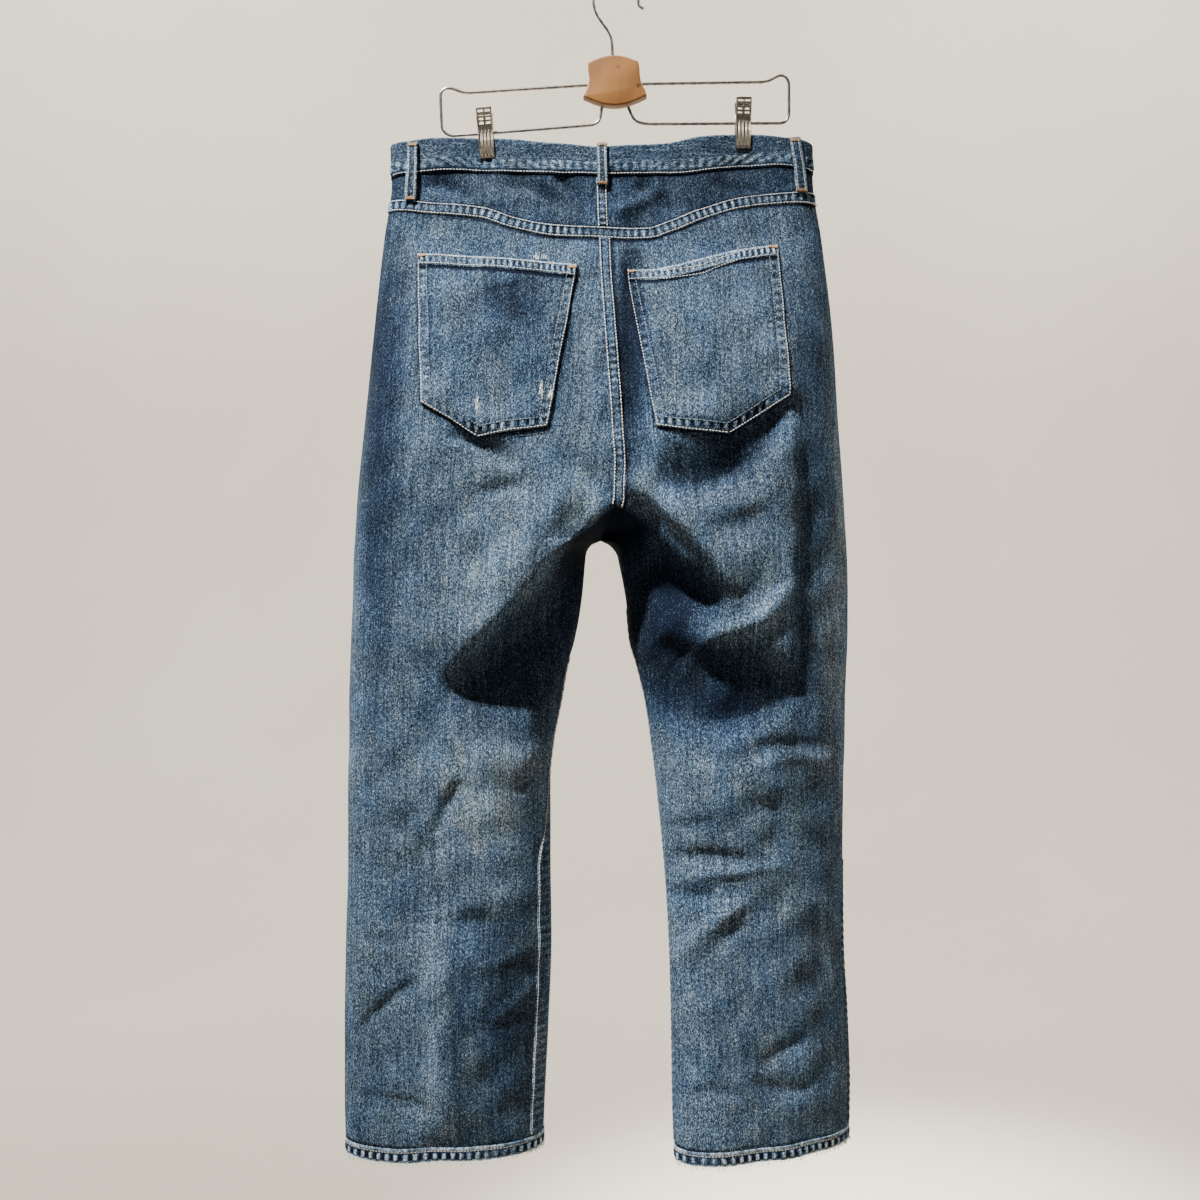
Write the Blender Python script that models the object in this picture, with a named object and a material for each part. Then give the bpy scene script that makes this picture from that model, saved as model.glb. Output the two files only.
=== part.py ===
"""Straight leg jeans hung from a wire clip hanger, seen from behind along +Y.

The origin is the underside of the hook's top, where the hanger would rest on a rail.
+X is the wearer's right, -Y the back of the jeans and +Z up. Lengths in the tables
and constants are millimetres; MM turns them into Blender's metres.
"""
import math
from bisect import bisect_right

import bmesh
import bpy
from mathutils import Matrix, Vector

MM = 0.001

# Cloth and seams
WALL = 1.6
SEAM_GAP = 0.3
ACROSS_STEP, DOWN_STEP = 0.001, 0.5
BACK, FRONT = -1, 1
TOWARDS_MIDDLE = {"left": 1, "right": -1}

# The crotch: where the four panels meet, the round arch between the legs under it, and
# the lip of the seat that stands out over it and falls away to both sides
CROTCH_Z = -572.0
CROTCH_Y = 3.0
ARCH_HEIGHT = 16.0
BACK_RISE_ROUND = 38.0
FRONT_RISE_ROUND = 36.0
HIP_BLEND = 75.0
VALLEY_SOFTNESS = 12.0
BRIDGE_SHARE, BRIDGE_SUNK = 0.7, 14.0
LIP_SLOPE, LIP_TURN = 1.15, 1.4

# The line of the centre seams: where they run, and how deep the cloth stands there
RISE_COLUMNS = ("z", "mid_x", "back_y", "front_y", "seat", "belly")
RISE_ROWS = (
    (-160, -16, -9, 9, 0, 0),
    (-205, -15, -12, 11, 1, 0),
    (-262, -13, -20, 15, 5, 1),
    (-310, -11, -33, 18, 8, 2),
    (-365, -7, -45, 20, 10, 3),
    (-420, -3, -54, 22, 9, 4),
    (-465, 0, -59, 24, 7, 4),
    (-500, 2, -62, 25, 4, 4),
    (-532, 1, -62, 26, 3, 4),
    (-548, -4, -62, 26, 3, 4),
    (-572, -16, -62, 26, 2, 4),
)

# Each half from waist to hem: its outseam, its inseam below the crotch, how far the
# cloth bellies to the back and front, and how broad its rolled edges are
HALF_COLUMNS = ("z", "out_x", "out_y", "in_x", "in_y", "back", "front", "out_r", "in_r")
HALF_ROWS = {
    "left": (
        (-160, -230, 0, -16, 0, 20, 10, 14, 60),
        (-205, -229, 0, -16, 0, 30, 12, 20, 60),
        (-264, -237, 2, -16, 0, 40, 16, 34, 60),
        (-366, -248, 4, -16, 0, 60, 20, 60, 60),
        (-448, -256, 4, -16, 0, 67, 23, 74, 60),
        (-529, -264, 4, -16, 3, 67, 26, 84, 70),
        (-561, -266, 4, -28, 3, 65, 28, 88, 80),
        (-590, -268, 4, -31, 3, 63, 29, 90, 84),
        (-632, -269, 4, -35, 3, 60, 30, 92, 88),
        (-672, -271, 4, -42, 3, 57, 31, 94, 90),
        (-700, -272, 4, -50, 4, 55, 32, 94, 90),
        (-734, -273, 4, -56, 4, 53, 33, 92, 88),
        (-775, -273, 4, -64, 5, 50, 34, 88, 82),
        (-816, -274, 3, -68, 6, 47, 35, 84, 76),
        (-897, -274, 3, -67, 9, 43, 36, 82, 74),
        (-979, -276, 2, -66, 11, 41, 37, 82, 74),
        (-1061, -277, 1, -69, 14, 40, 37, 82, 74),
        (-1143, -277, 1, -73, 16, 40, 37, 80, 72),
        (-1191, -275, 0, -75, 17, 40, 36, 78, 70),
    ),
    "right": (
        (-160, 200, 0, -16, 0, 20, 10, 14, 60),
        (-205, 201, 0, -16, 0, 30, 12, 20, 60),
        (-264, 210, 2, -16, 0, 40, 16, 34, 60),
        (-366, 222, 5, -16, 0, 60, 20, 60, 60),
        (-448, 227, 6, -16, 0, 67, 23, 74, 60),
        (-529, 233, 7, -16, 3, 67, 26, 84, 70),
        (-561, 235, 7, -4, 3, 65, 28, 88, 80),
        (-590, 237, 8, 2, 3, 63, 29, 90, 84),
        (-632, 238, 9, 10, 2, 60, 30, 92, 88),
        (-672, 238, 10, 14, 1, 57, 31, 94, 90),
        (-700, 237, 11, 22, 0, 55, 32, 94, 90),
        (-734, 236, 12, 30, 0, 53, 33, 92, 88),
        (-775, 236, 14, 36, -2, 50, 34, 88, 82),
        (-816, 235, 16, 41, -4, 47, 35, 84, 76),
        (-897, 235, 20, 49, -8, 43, 36, 82, 74),
        (-979, 236, 23, 54, -11, 41, 37, 82, 74),
        (-1061, 241, 27, 56, -15, 40, 37, 82, 74),
        (-1143, 244, 30, 57, -19, 38, 37, 80, 72),
        (-1191, 244, 33, 59, -21, 36, 36, 78, 70),
    ),
}

# The largest folds, with columns x0, z0, xm, zm, x1, z1, near, far and height. Each runs on
# a bent line from (x0, z0) by (xm, zm) to (x1, z1). Seen along it, near is its reach to the
# left and far to the right; hollows have a height below nought.
FOLD_ROWS = {
    BACK: (
        (-8, -526, -72, -600, -178, -704, 18, 46, 11),
        (-4, -560, -74, -652, -164, -730, 58, 24, -27),
        (-182, -762, -115, -790, -56, -782, 14, 44, 4),
        (5, -514, 66, -561, 121, -628, 28, 12, 12),
        (9, -552, 54, -604, 107, -643, 15, 40, -24),
        (152, -620, 141, -649, 66, -671, 14, 12, 10),
        (10, -702, 98, -752, 186, -708, 68, 18, -20),
        (34, -512, 112, -506, 172, -428, 36, 15, -15),
        (166, -371, 172, -592, 166, -777, 12, 42, 4.5),
        (-172, -951, -172, -1058, -171, -1177, 52, 24, 12),
        (48, -894, 84, -885, 132, -892, 14, 12, -5),
        (-179, -868, -169, -836, -151, -808, 14, 14, -3.5),
    ),
    FRONT: (
        (-196, -470, -140, -510, -60, -530, 16, 14, -5),
        (160, -470, 110, -505, 40, -530, 14, 16, -5),
        (-170, -820, -168, -1000, -170, -1170, 30, 26, 5),
        (145, -820, 148, -1000, 150, -1170, 26, 30, 5),
    ),
}
FOLD_STEPS = 6

# The clips press both layers of the waist together here
PINCH_REACH = 26.0
PINCH_Y = 2.6
PINCH_TOP_Z, PINCH_END_Z = -185.0, -235.0

# Lines across the jeans, each a height for a place across
WAIST_COLUMNS = ("x", "top", "seam")
WAIST_ROWS = (
    (-232, -168, -203),
    (-206, -165, -201),
    (-175, -162, -198),
    (-133, -161, -197),
    (-75, -167, -201),
    (-14, -171, -202),
    (50, -168, -202),
    (88, -161, -199),
    (130, -157, -192),
    (180, -163, -194),
    (206, -169, -199),
)
YOKE_COLUMNS = ("x", "seam")
YOKE_ROWS = (
    (-240, -230),
    (-195, -236),
    (-136, -242),
    (-104, -253),
    (-56, -261),
    (-14, -262),
    (33, -264),
    (54, -257),
    (85, -244),
    (120, -233),
    (154, -227),
    (212, -224),
)
WAISTBAND_OUT, WAISTBAND_IN = 0.8, 2.0
BAND_STEPS = 3
OVERLAP_LENGTH = 30.0
OVERLAP_LIFT = 3.2
OVERLAP_Z = -190.0
OVERLAP_STARTS = (("left", 0.97), ("right", 0.995))
OVERLAP_SHARES = (0.35, 0.7, 1.0)

# Where the panels' points lie: columns across, and levels down from the seat
BACK_COLUMNS, FRONT_COLUMNS, FACING_COLUMNS = 14, 9, 6
LEVELS = (
    -305, -330, -356, -382, -408, -434, -458, -480, -500, -518, -532, -543, -552, -559,
    -565, -569, -572, -574, -578, -584, -592, -603, -618, -636, -656, -678, -702, -730,
    -762, -798, -838, -882, -930, -980, -1030, -1080, -1125, -1155, -1177,
)
TOP_STEPS, YOKE_STEPS = 4, 4
HEM_TOP, HEM_BOTTOM = -1177.0, -1191.0
HEM_OUT, HEM_IN = 0.7, 1.9

# Back pockets: outline corners and the place of the point along the bottom
POCKET_LIFT = 1.1
POCKET_WALL = 1.5
POCKET_BAND, POCKET_BAND_STEP = 12.0, 0.8
POCKET_BAND_EXTRA = 0.9
POCKET_COLUMNS = 8
POCKET_SHARES = (0.16, 0.32, 0.48, 0.64, 0.8, 0.92, 1.0)
POCKETS = {
    "left": {
        "top": ((-198, -287), (-145, -291), (-92, -295), (-39, -299)),
        "bottom": ((-190, -440), (-135, -473), (-67, -463)),
    },
    "right": {
        "top": ((10, -301), (36, -305), (63, -300), (118, -285), (161, -278)),
        "bottom": ((39, -463), (109, -470), (169, -432)),
    },
}

# Hip pocket openings at the front, and the facing that shows in each
SCOOP_WIDTH, SCOOP_BOTTOM = 74.0, -327.0
SCOOP_LEVELS = (-212, -232, -255, -278, -298, -312, -321, -327)
FACING_TUCK, FACING_SUNK, FACING_WALL, FACING_END = 9.0, 3.9, 1.2, -331.0

# Fly, button and belt loops
FLY_WIDTH, FLY_LAP, FLY_TOP, FLY_BOTTOM = 38.0, 4.0, -200.0, -345.0
FLY_LIFT, FLY_WALL, FLY_COLUMNS = 0.8, 1.3, 5
FLY_SHARES = (0.0, 0.15, 0.3, 0.45, 0.6, 0.75, 0.88, 0.96, 1.0)
FLY_STRAIGHT, FLY_LEAST = 0.55, 0.14
BUTTON_SHIFT, BUTTON_Z, BUTTON_LIFT = 10.0, -186.0, 0.6
BUTTON_PROFILE = ((8.5, 0.0), (8.5, 1.6), (7.7, 2.4), (6.1, 2.5), (5.3, 2.1), (3.0, 2.9), (0.0, 3.2))
LOOP_WIDTH, LOOP_WALL, LOOP_BOW, LOOP_BOW_POWER, LOOP_STEPS = 11.0, 1.8, 2.6, 0.7, 7
LOOPS = {
    "belt_loop_back": (BACK, (-14, -168), (-14, -213)),
    "belt_loop_back_left": (BACK, (-206, -167), (-207, -231)),
    "belt_loop_back_right": (BACK, (181, -163), (187, -222)),
    "belt_loop_front_left": (FRONT, (-88, -168), (-88, -214)),
    "belt_loop_front_right": (FRONT, (58, -168), (58, -214)),
}

# Hanger: wire, hook, wooden block and clips
WIRE_RADIUS = 1.5
HOOK_RADIUS = 21.5
HOOK_TIP = ((28.0, -27.5), (25.5, -25.8), (23.6, -24.4))
HOOK_END = ((-21, -30), (-18, -36), (-5, -54), (-4, -64), (-3.4, -76.2))
HOOK_TURN, HOOK_BEND = 12, 8.0
WIRE_BEND, BEND_SHARE = 6.0, 0.45
BLOCK_THICKNESS = 12.0
BLOCK_EDGE = 1.6
BLOCK_STEPS = 8
BLOCK_SIDE = ((-28.6, -84), (-28.4, -90), (-27.4, -98), (-28.6, -107), (-31.4, -114), (-33.4, -119))
BLOCK_OTHER_SIDE = ((31.4, -118), (29.6, -112), (26.6, -106), (24.4, -98), (23.9, -90), (22.6, -83))
BLOCK_TOP_RISE, BLOCK_BOTTOM_DROP = 6.6, 9.6
WIRES = {
    "left": ((-29.1, -105.4), (-155, -113.4), (-171.5, -107.4), (-179.6, -112), (-178, -151),
             (-170.5, -157.4), (-141, -155.3), (-24, -146.2), (-16.5, -142), (-14.3, -127.8)),
    "right": ((27.0, -104.3), (154, -102.3), (168.6, -94.4), (176.8, -99.5), (176.8, -138.5),
              (171.5, -144.4), (30, -145.2), (19, -142), (12.3, -127.6)),
}
CLIP_WIDTH, JAW_WALL = 16.0, 1.1
CLIPS = {"left": (-133.0, -154.7, 4.4), "right": (129.8, -144.6, -0.6)}
JAW_PROFILE = (
    (7.6, 24.0), (6.8, 14.0), (4.4, 4.0), (3.9, 0.0), (4.4, -5.0), (5.2, -10.0), (5.6, -16.0),
    (4.7, -27.0),
)
BARREL_OUTER, BARREL_INNER, BARREL_LENGTH = 3.6, 2.0, 12.0
HALVINGS, LEVEL_PASSES = 30, 3

COLOURS = {
    "denim": ((0.135, 0.215, 0.315, 1), 0.85, 0.0),
    "denim_yoke": ((0.105, 0.180, 0.290, 1), 0.85, 0.0),
    "denim_trim": ((0.165, 0.245, 0.345, 1), 0.85, 0.0),
    "button": ((0.45, 0.36, 0.25, 1), 0.35, 1.0),
    "wood": ((0.56, 0.33, 0.16, 1), 0.5, 0.0),
    "wire": ((0.62, 0.61, 0.60, 1), 0.25, 1.0),
    "clip": ((0.46, 0.43, 0.38, 1), 0.3, 1.0),
}


def clear_scene():
    for item in list(bpy.data.objects):
        bpy.data.objects.remove(item, do_unlink=True)


def make_collection(name):
    collection = bpy.data.collections.new(name)
    bpy.context.scene.collection.children.link(collection)
    return collection


def make_material(name):
    colour, roughness, metallic = COLOURS[name]
    material = bpy.data.materials.new(name)
    material.use_nodes = True
    material.diffuse_color = colour
    shader = material.node_tree.nodes["Principled BSDF"]
    shader.inputs["Base Color"].default_value = colour
    shader.inputs["Roughness"].default_value = roughness
    shader.inputs["Metallic"].default_value = metallic
    return material


def smooth_curve(rows, columns, key, value):
    """A smooth line through a table's rows that never overshoots their values."""
    pairs = sorted((row[columns.index(key)], row[columns.index(value)]) for row in rows)
    xs = [pair[0] for pair in pairs]
    ys = [pair[1] for pair in pairs]
    slopes = [(ys[i + 1] - ys[i]) / (xs[i + 1] - xs[i]) for i in range(len(xs) - 1)]
    bends = [slopes[0]]
    for before, after in zip(slopes, slopes[1:]):
        same_way = before * after > 0
        bends.append(2 * before * after / (before + after) if same_way else 0.0)
    bends.append(slopes[-1])

    def at(x):
        i = min(max(bisect_right(xs, x) - 1, 0), len(xs) - 2)
        if x <= xs[0]:
            return ys[0] + bends[0] * (x - xs[0])
        if x >= xs[-1]:
            return ys[-1] + bends[-1] * (x - xs[-1])
        width = xs[i + 1] - xs[i]
        t = (x - xs[i]) / width
        return (
            ys[i] * (1 + 2 * t) * (1 - t) ** 2
            + ys[i + 1] * t * t * (3 - 2 * t)
            + width * (bends[i] * t * (1 - t) ** 2 - bends[i + 1] * t * t * (1 - t))
        )

    return at


def curves_of(rows, columns, key):
    return {name: smooth_curve(rows, columns, key, name) for name in columns if name != key}


RISE = curves_of(RISE_ROWS, RISE_COLUMNS, "z")
HALF = {side: curves_of(rows, HALF_COLUMNS, "z") for side, rows in HALF_ROWS.items()}
WAIST = curves_of(WAIST_ROWS, WAIST_COLUMNS, "x")
YOKE = curves_of(YOKE_ROWS, YOKE_COLUMNS, "x")


def rolled(t):
    """Height of a quarter round, t along it from 0 to 1, and level after that."""
    return math.sqrt(1.0 - (1.0 - min(max(t, 0.0), 1.0)) ** 2)


def eased(t):
    t = min(max(t, 0.0), 1.0)
    return t * t * (3 - 2 * t)


def bent_line(row):
    """Points on a fold's bent line, from its start by its middle to its end."""
    start, middle, end = (Vector(row[i:i + 2]) for i in (0, 2, 4))
    bend = 2 * middle - (start + end) / 2
    shares = [step / FOLD_STEPS for step in range(FOLD_STEPS + 1)]
    return [start * (1 - t) ** 2 + bend * 2 * t * (1 - t) + end * t * t for t in shares]


FOLDS = {face: [(bent_line(row), *row[6:]) for row in rows] for face, rows in FOLD_ROWS.items()}


def nearest_on(line, place):
    """How far a place lies off a line, whether to its left, and how far along it."""
    best = (math.inf, True, 0.0)
    for i, (start, end) in enumerate(zip(line, line[1:])):
        step, went = end - start, place - start
        t = min(max(went.dot(step) / step.length_squared, 0.0), 1.0)
        away = went - step * t
        if away.length < best[0]:
            best = (away.length, step.cross(away) > 0, (i + t) / (len(line) - 1))
    return best


def fold_height(face, x, z):
    """How far the folds lift the cloth at a place across and down it."""
    total = 0.0
    for line, near, far, height in FOLDS[face]:
        distance, on_left, along = nearest_on(line, Vector((x, z)))
        taper = 1 - (2 * along - 1) ** 4
        total += height * taper * math.exp(-((distance / (near if on_left else far)) ** 2))
    return total


def pressed(x, z):
    """How firmly the clips press the waist flat at a place, from 0 to 1."""
    press = eased((z - PINCH_END_Z) / (PINCH_TOP_Z - PINCH_END_Z))
    return press * sum(math.exp(-(((x - clip[0]) / PINCH_REACH) ** 2)) for clip in CLIPS.values())


def lip_rise(face, gap, above):
    """How far the cloth at the crotch has come out to the seat's or belly's depth, 0 to 1."""
    if face == FRONT:
        return rolled(above / FRONT_RISE_ROUND)
    near_lip = min(max((above + LIP_SLOPE * gap) / BACK_RISE_ROUND, 0.0), 1.0)
    return 1 - (1 - near_lip) ** LIP_TURN


def joined(a, b, soft):
    """The larger of two heights, with a soft hollow where they meet."""
    return max(a, b) + max(soft - abs(a - b), 0.0) ** 2 / (4 * soft)


def cloth_point(side, face, u, z):
    """A point of the cloth's outer surface: u runs from the outseam, 0, to the middle, 1."""
    half = {name: line(z) for name, line in HALF[side].items()}
    rise = {name: line(z) for name, line in RISE.items()}
    inwards = TOWARDS_MIDDLE[side]
    above = z - CROTCH_Z
    hip = eased(above / HIP_BLEND)
    arch = rolled(-above / ARCH_HEIGHT)
    in_x = rise["mid_x"] + (half["in_x"] - rise["mid_x"]) * arch - inwards * SEAM_GAP / 2
    width = abs(in_x - half["out_x"])
    leg_share = (1 - math.cos(math.pi * u)) / 2
    leg_share = 2 - leg_share if u > 1 else leg_share
    across = (1 - hip) * leg_share + hip * (1 - math.cos(math.pi * u / 2))
    out_roll = math.copysign(rolled(width * across / half["out_r"]), u)
    in_roll = math.copysign(rolled(width * abs(1 - across) / half["in_r"]), 1 - u)
    belly, seat = (half["back"], rise["seat"]) if face == BACK else (half["front"], rise["belly"])
    flat_y = half["out_y"] + (half["in_y"] - half["out_y"]) * across
    y = flat_y + face * belly * out_roll * in_roll
    out_share = lip_rise(face, width * (1 - across), above)
    if out_share > 0:
        deep = rise["back_y"] if face == BACK else rise["front_y"]
        middle_y = CROTCH_Y + (deep - CROTCH_Y) * out_share
        soft = VALLEY_SOFTNESS * out_share
        hip_y = (half["out_y"] + (middle_y - half["out_y"]) * out_roll
                 + face * seat * math.sin(math.pi * across) ** 2)
        far_y = flat_y - face * BRIDGE_SUNK
        bridge_y = middle_y + (far_y - middle_y) * eased((1 - across) / BRIDGE_SHARE)
        y = hip * hip_y + (1 - hip) * face * joined(face * y, face * bridge_y, soft)
    x = half["out_x"] + inwards * width * across
    held = abs(out_roll) * (hip + (1 - hip) * abs(in_roll))
    y += face * held * fold_height(face, x, z)
    y += (face * PINCH_Y - y) * pressed(x, z)
    return Vector((x, y + face * SEAM_GAP / 2, z))


def across_at(side, face, x, z):
    """The u at which the cloth of one half reaches a place across it, at one level."""
    low, high = 0.0, 1.0
    for _ in range(HALVINGS):
        middle = (low + high) / 2
        reached = TOWARDS_MIDDLE[side] * (x - cloth_point(side, face, middle, z).x)
        low, high = (middle, high) if reached > 0 else (low, middle)
    return (low + high) / 2


def patch_point(side, face, u, z, out=0.0):
    """A point of the cloth moved out along its normal."""
    du = cloth_point(side, face, u + ACROSS_STEP, z) - cloth_point(side, face, u - ACROSS_STEP, z)
    dz = cloth_point(side, face, u, z + DOWN_STEP) - cloth_point(side, face, u, z - DOWN_STEP)
    normal = du.cross(dz).normalized() * (-face * TOWARDS_MIDDLE[side])
    return cloth_point(side, face, u, z) + normal * out


def side_of(face, x, z):
    return "left" if x < RISE["mid_x"](z) else "right"


def place_point(face, x, z, out=0.0):
    """A point over the cloth, given by its place across and its height."""
    side = side_of(face, x, z)
    return patch_point(side, face, across_at(side, face, x, z), z, out)


def add_object(name, bm, material, collection, smooth=True):
    bmesh.ops.recalc_face_normals(bm, faces=bm.faces)
    mesh = bpy.data.meshes.new(name)
    bm.to_mesh(mesh)
    bm.free()
    if smooth:
        mesh.shade_smooth()
        mesh.set_sharp_from_angle(angle=math.radians(40))
    mesh.materials.append(material)
    item = bpy.data.objects.new(name, mesh)
    collection.objects.link(item)
    return item


def add_wall(name, outer, inner, material, collection, closed=False):
    """A wall of cloth lofted through two like grids of points, row by row."""
    bm = bmesh.new()
    skins = [[[bm.verts.new(point * MM) for point in row] for row in grid] for grid in (outer, inner)]
    rows, columns = len(outer), len(outer[0])
    steps = columns if closed else columns - 1
    for skin in skins:
        for j in range(rows - 1):
            for i in range(steps):
                k = (i + 1) % columns
                bm.faces.new((skin[j][i], skin[j][k], skin[j + 1][k], skin[j + 1][i]))
    for j in (0, rows - 1):
        for i in range(steps):
            k = (i + 1) % columns
            bm.faces.new((skins[0][j][i], skins[0][j][k], skins[1][j][k], skins[1][j][i]))
    if not closed:
        for i in (0, columns - 1):
            for j in range(rows - 1):
                bm.faces.new((skins[0][j][i], skins[0][j + 1][i], skins[1][j + 1][i], skins[1][j][i]))
    return add_object(name, bm, material, collection)


def wall_of_points(name, grid, out, inside, material, collection, closed=False):
    """A wall from a grid of (side, face, u, z) places, between two depths of the cloth."""
    outer = [[patch_point(*place, out) for place in row] for row in grid]
    inner = [[patch_point(*place, inside) for place in row] for row in grid]
    return add_wall(name, outer, inner, material, collection, closed)


def fractions(count):
    return [i / count for i in range(count + 1)]


def line_level(side, face, u, line):
    """The height of a line across the jeans where the column u of one half meets it."""
    z = line(cloth_point(side, face, u, LEVELS[0]).x)
    for _ in range(LEVEL_PASSES):
        z = line(cloth_point(side, face, u, z).x)
    return z


def make_back_panels(material, collection):
    for side in TOWARDS_MIDDLE:
        us = fractions(BACK_COLUMNS)
        tops = [line_level(side, BACK, u, YOKE["seam"]) - SEAM_GAP / 2 for u in us]
        grid = [
            [(side, BACK, u, top + (LEVELS[0] - top) * step / TOP_STEPS) for u, top in zip(us, tops)]
            for step in range(TOP_STEPS)
        ]
        grid += [[(side, BACK, u, z) for u in us] for z in LEVELS[:-1]]
        grid.append([(side, BACK, u, HEM_TOP + SEAM_GAP / 2) for u in us])
        wall_of_points(f"back_panel_{side}", grid, 0.0, -WALL, material, collection)


def scoop_start(side, z):
    """How far across the front panel starts, beside the hip pocket's opening."""
    drop = WAIST["seam"](HALF[side]["out_x"](z) + TOWARDS_MIDDLE[side] * SCOOP_WIDTH) - z
    reach = WAIST["seam"](0) - SCOOP_BOTTOM
    share = min(max(drop / reach, 0.0), 1.0)
    return SCOOP_WIDTH * math.sqrt(1.0 - share * share)


def make_front_panels(material, collection):
    for side in TOWARDS_MIDDLE:
        columns = fractions(FRONT_COLUMNS)
        grid = []
        for z in (*SCOOP_LEVELS, *[z for z in LEVELS[:-1] if z < SCOOP_BOTTOM - 2]):
            start = 0.0
            if z > SCOOP_BOTTOM:
                edge_x = HALF[side]["out_x"](z) + TOWARDS_MIDDLE[side] * scoop_start(side, z)
                start = across_at(side, FRONT, edge_x, z)
            grid.append([(side, FRONT, start + (1 - start) * t, z) for t in columns])
        grid.insert(0, [
            (side, FRONT, u, line_level(side, FRONT, u, WAIST["seam"]) - SEAM_GAP)
            for _, _, u, _ in grid[0]
        ])
        grid.append([(side, FRONT, u, HEM_TOP + SEAM_GAP / 2) for u in columns])
        wall_of_points(f"front_panel_{side}", grid, 0.0, -WALL, material, collection)


def make_facings(material, collection):
    """The cloth behind each hip pocket opening, tucked under the front panel's edge."""
    for side in TOWARDS_MIDDLE:
        grid = []
        for z in (*SCOOP_LEVELS, FACING_END):
            reach = scoop_start(side, z) + FACING_TUCK
            edge_x = HALF[side]["out_x"](z) + TOWARDS_MIDDLE[side] * reach
            end = across_at(side, FRONT, edge_x, z)
            grid.append([(side, FRONT, end * t, z) for t in fractions(FACING_COLUMNS)])
        grid.insert(0, [
            (side, FRONT, u, line_level(side, FRONT, u, WAIST["seam"]) - SEAM_GAP)
            for _, _, u, _ in grid[0]
        ])
        wall_of_points(f"hip_pocket_facing_{side}", grid, -FACING_SUNK,
                       -FACING_SUNK - FACING_WALL, material, collection)


def make_yokes(material, collection):
    for side in TOWARDS_MIDDLE:
        grid = [[] for _ in range(YOKE_STEPS + 1)]
        for u in fractions(BACK_COLUMNS):
            top = line_level(side, BACK, u, WAIST["seam"]) - SEAM_GAP / 2
            bottom = line_level(side, BACK, u, YOKE["seam"]) + SEAM_GAP / 2
            for j, row in enumerate(grid):
                row.append((side, BACK, u, top + (bottom - top) * j / YOKE_STEPS))
        wall_of_points(f"yoke_{side}", grid, 0.0, -WALL, material, collection)


def waist_columns(side, face):
    """The waistband's columns over one panel, with extra ones under the clip."""
    clip_x, clip_z, _ = CLIPS[side]
    spots = [clip_x + apart for apart in (-CLIP_WIDTH, -CLIP_WIDTH / 2, CLIP_WIDTH / 2, CLIP_WIDTH)]
    return sorted(fractions(BACK_COLUMNS) + [across_at(side, face, x, clip_z - 20) for x in spots])


def waist_places():
    """Places right round the waist, from the front's middle over the wearer's right side."""
    places = [("right", FRONT, u) for u in reversed(waist_columns("right", FRONT)[1:])]
    places += [("right", BACK, u) for u in waist_columns("right", BACK)[:-1]]
    places += [("left", BACK, u) for u in reversed(waist_columns("left", BACK)[1:])]
    places += [("left", FRONT, u) for u in waist_columns("left", FRONT)[:-1]]
    return places


def make_waistband(material, collection):
    outer = [[] for _ in range(BAND_STEPS + 1)]
    inner = [[] for _ in range(BAND_STEPS + 1)]
    lap = across_at("right", FRONT, RISE["mid_x"](OVERLAP_Z) + OVERLAP_LENGTH, OVERLAP_Z)
    over = [(side, FRONT, u) for side, u in OVERLAP_STARTS[1:]]
    over += [("right", FRONT, 1 - (1 - lap) * t) for t in OVERLAP_SHARES]
    side, u = OVERLAP_STARTS[0]
    places = [(place, 0.0) for place in (*waist_places(), (side, FRONT, u))]
    places += [(place, OVERLAP_LIFT) for place in over]
    for (side, face, u), lift in places:
        top = line_level(side, face, u, WAIST["top"])
        seam = line_level(side, face, u, WAIST["seam"]) + SEAM_GAP / 2
        for j in range(BAND_STEPS + 1):
            z = top + (seam - top) * j / BAND_STEPS
            outer[j].append(patch_point(side, face, u, z, WAISTBAND_OUT + lift))
            inner[j].append(patch_point(side, face, u, z, lift - WAISTBAND_IN))
    add_wall("waistband", outer, inner, material, collection)


def point_along(points, t):
    """A place t of the way along a line through points that are spaced evenly in t."""
    place = min(max(t, 0.0), 1.0) * (len(points) - 1)
    i = min(int(place), len(points) - 2)
    part = place - i
    return tuple(a + (b - a) * part for a, b in zip(points[i], points[i + 1]))


def pocket_levels(length):
    """How far down a pocket each row of its points lies, and how much it stands out."""
    levels = [(0.0, POCKET_BAND_EXTRA), (POCKET_BAND / length, POCKET_BAND_EXTRA)]
    levels.append(((POCKET_BAND + POCKET_BAND_STEP) / length, 0.0))
    return levels + [(share, 0.0) for share in POCKET_SHARES]


def make_back_pockets(material, collection):
    for side, pocket in POCKETS.items():
        columns = []
        for t in fractions(POCKET_COLUMNS):
            top = Vector(point_along(pocket["top"], t))
            bottom = Vector(point_along(pocket["bottom"], t))
            levels = pocket_levels(top.y - bottom.y)
            columns.append([(top.lerp(bottom, down), extra) for down, extra in levels])
        rows = list(zip(*columns))
        lift = POCKET_LIFT + POCKET_WALL
        outer = [[place_point(BACK, *spot, lift + extra) for spot, extra in row] for row in rows]
        inner = [[place_point(BACK, *spot, POCKET_LIFT) for spot, _ in row] for row in rows]
        add_wall(f"back_pocket_{side}", outer, inner, material, collection)


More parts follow.
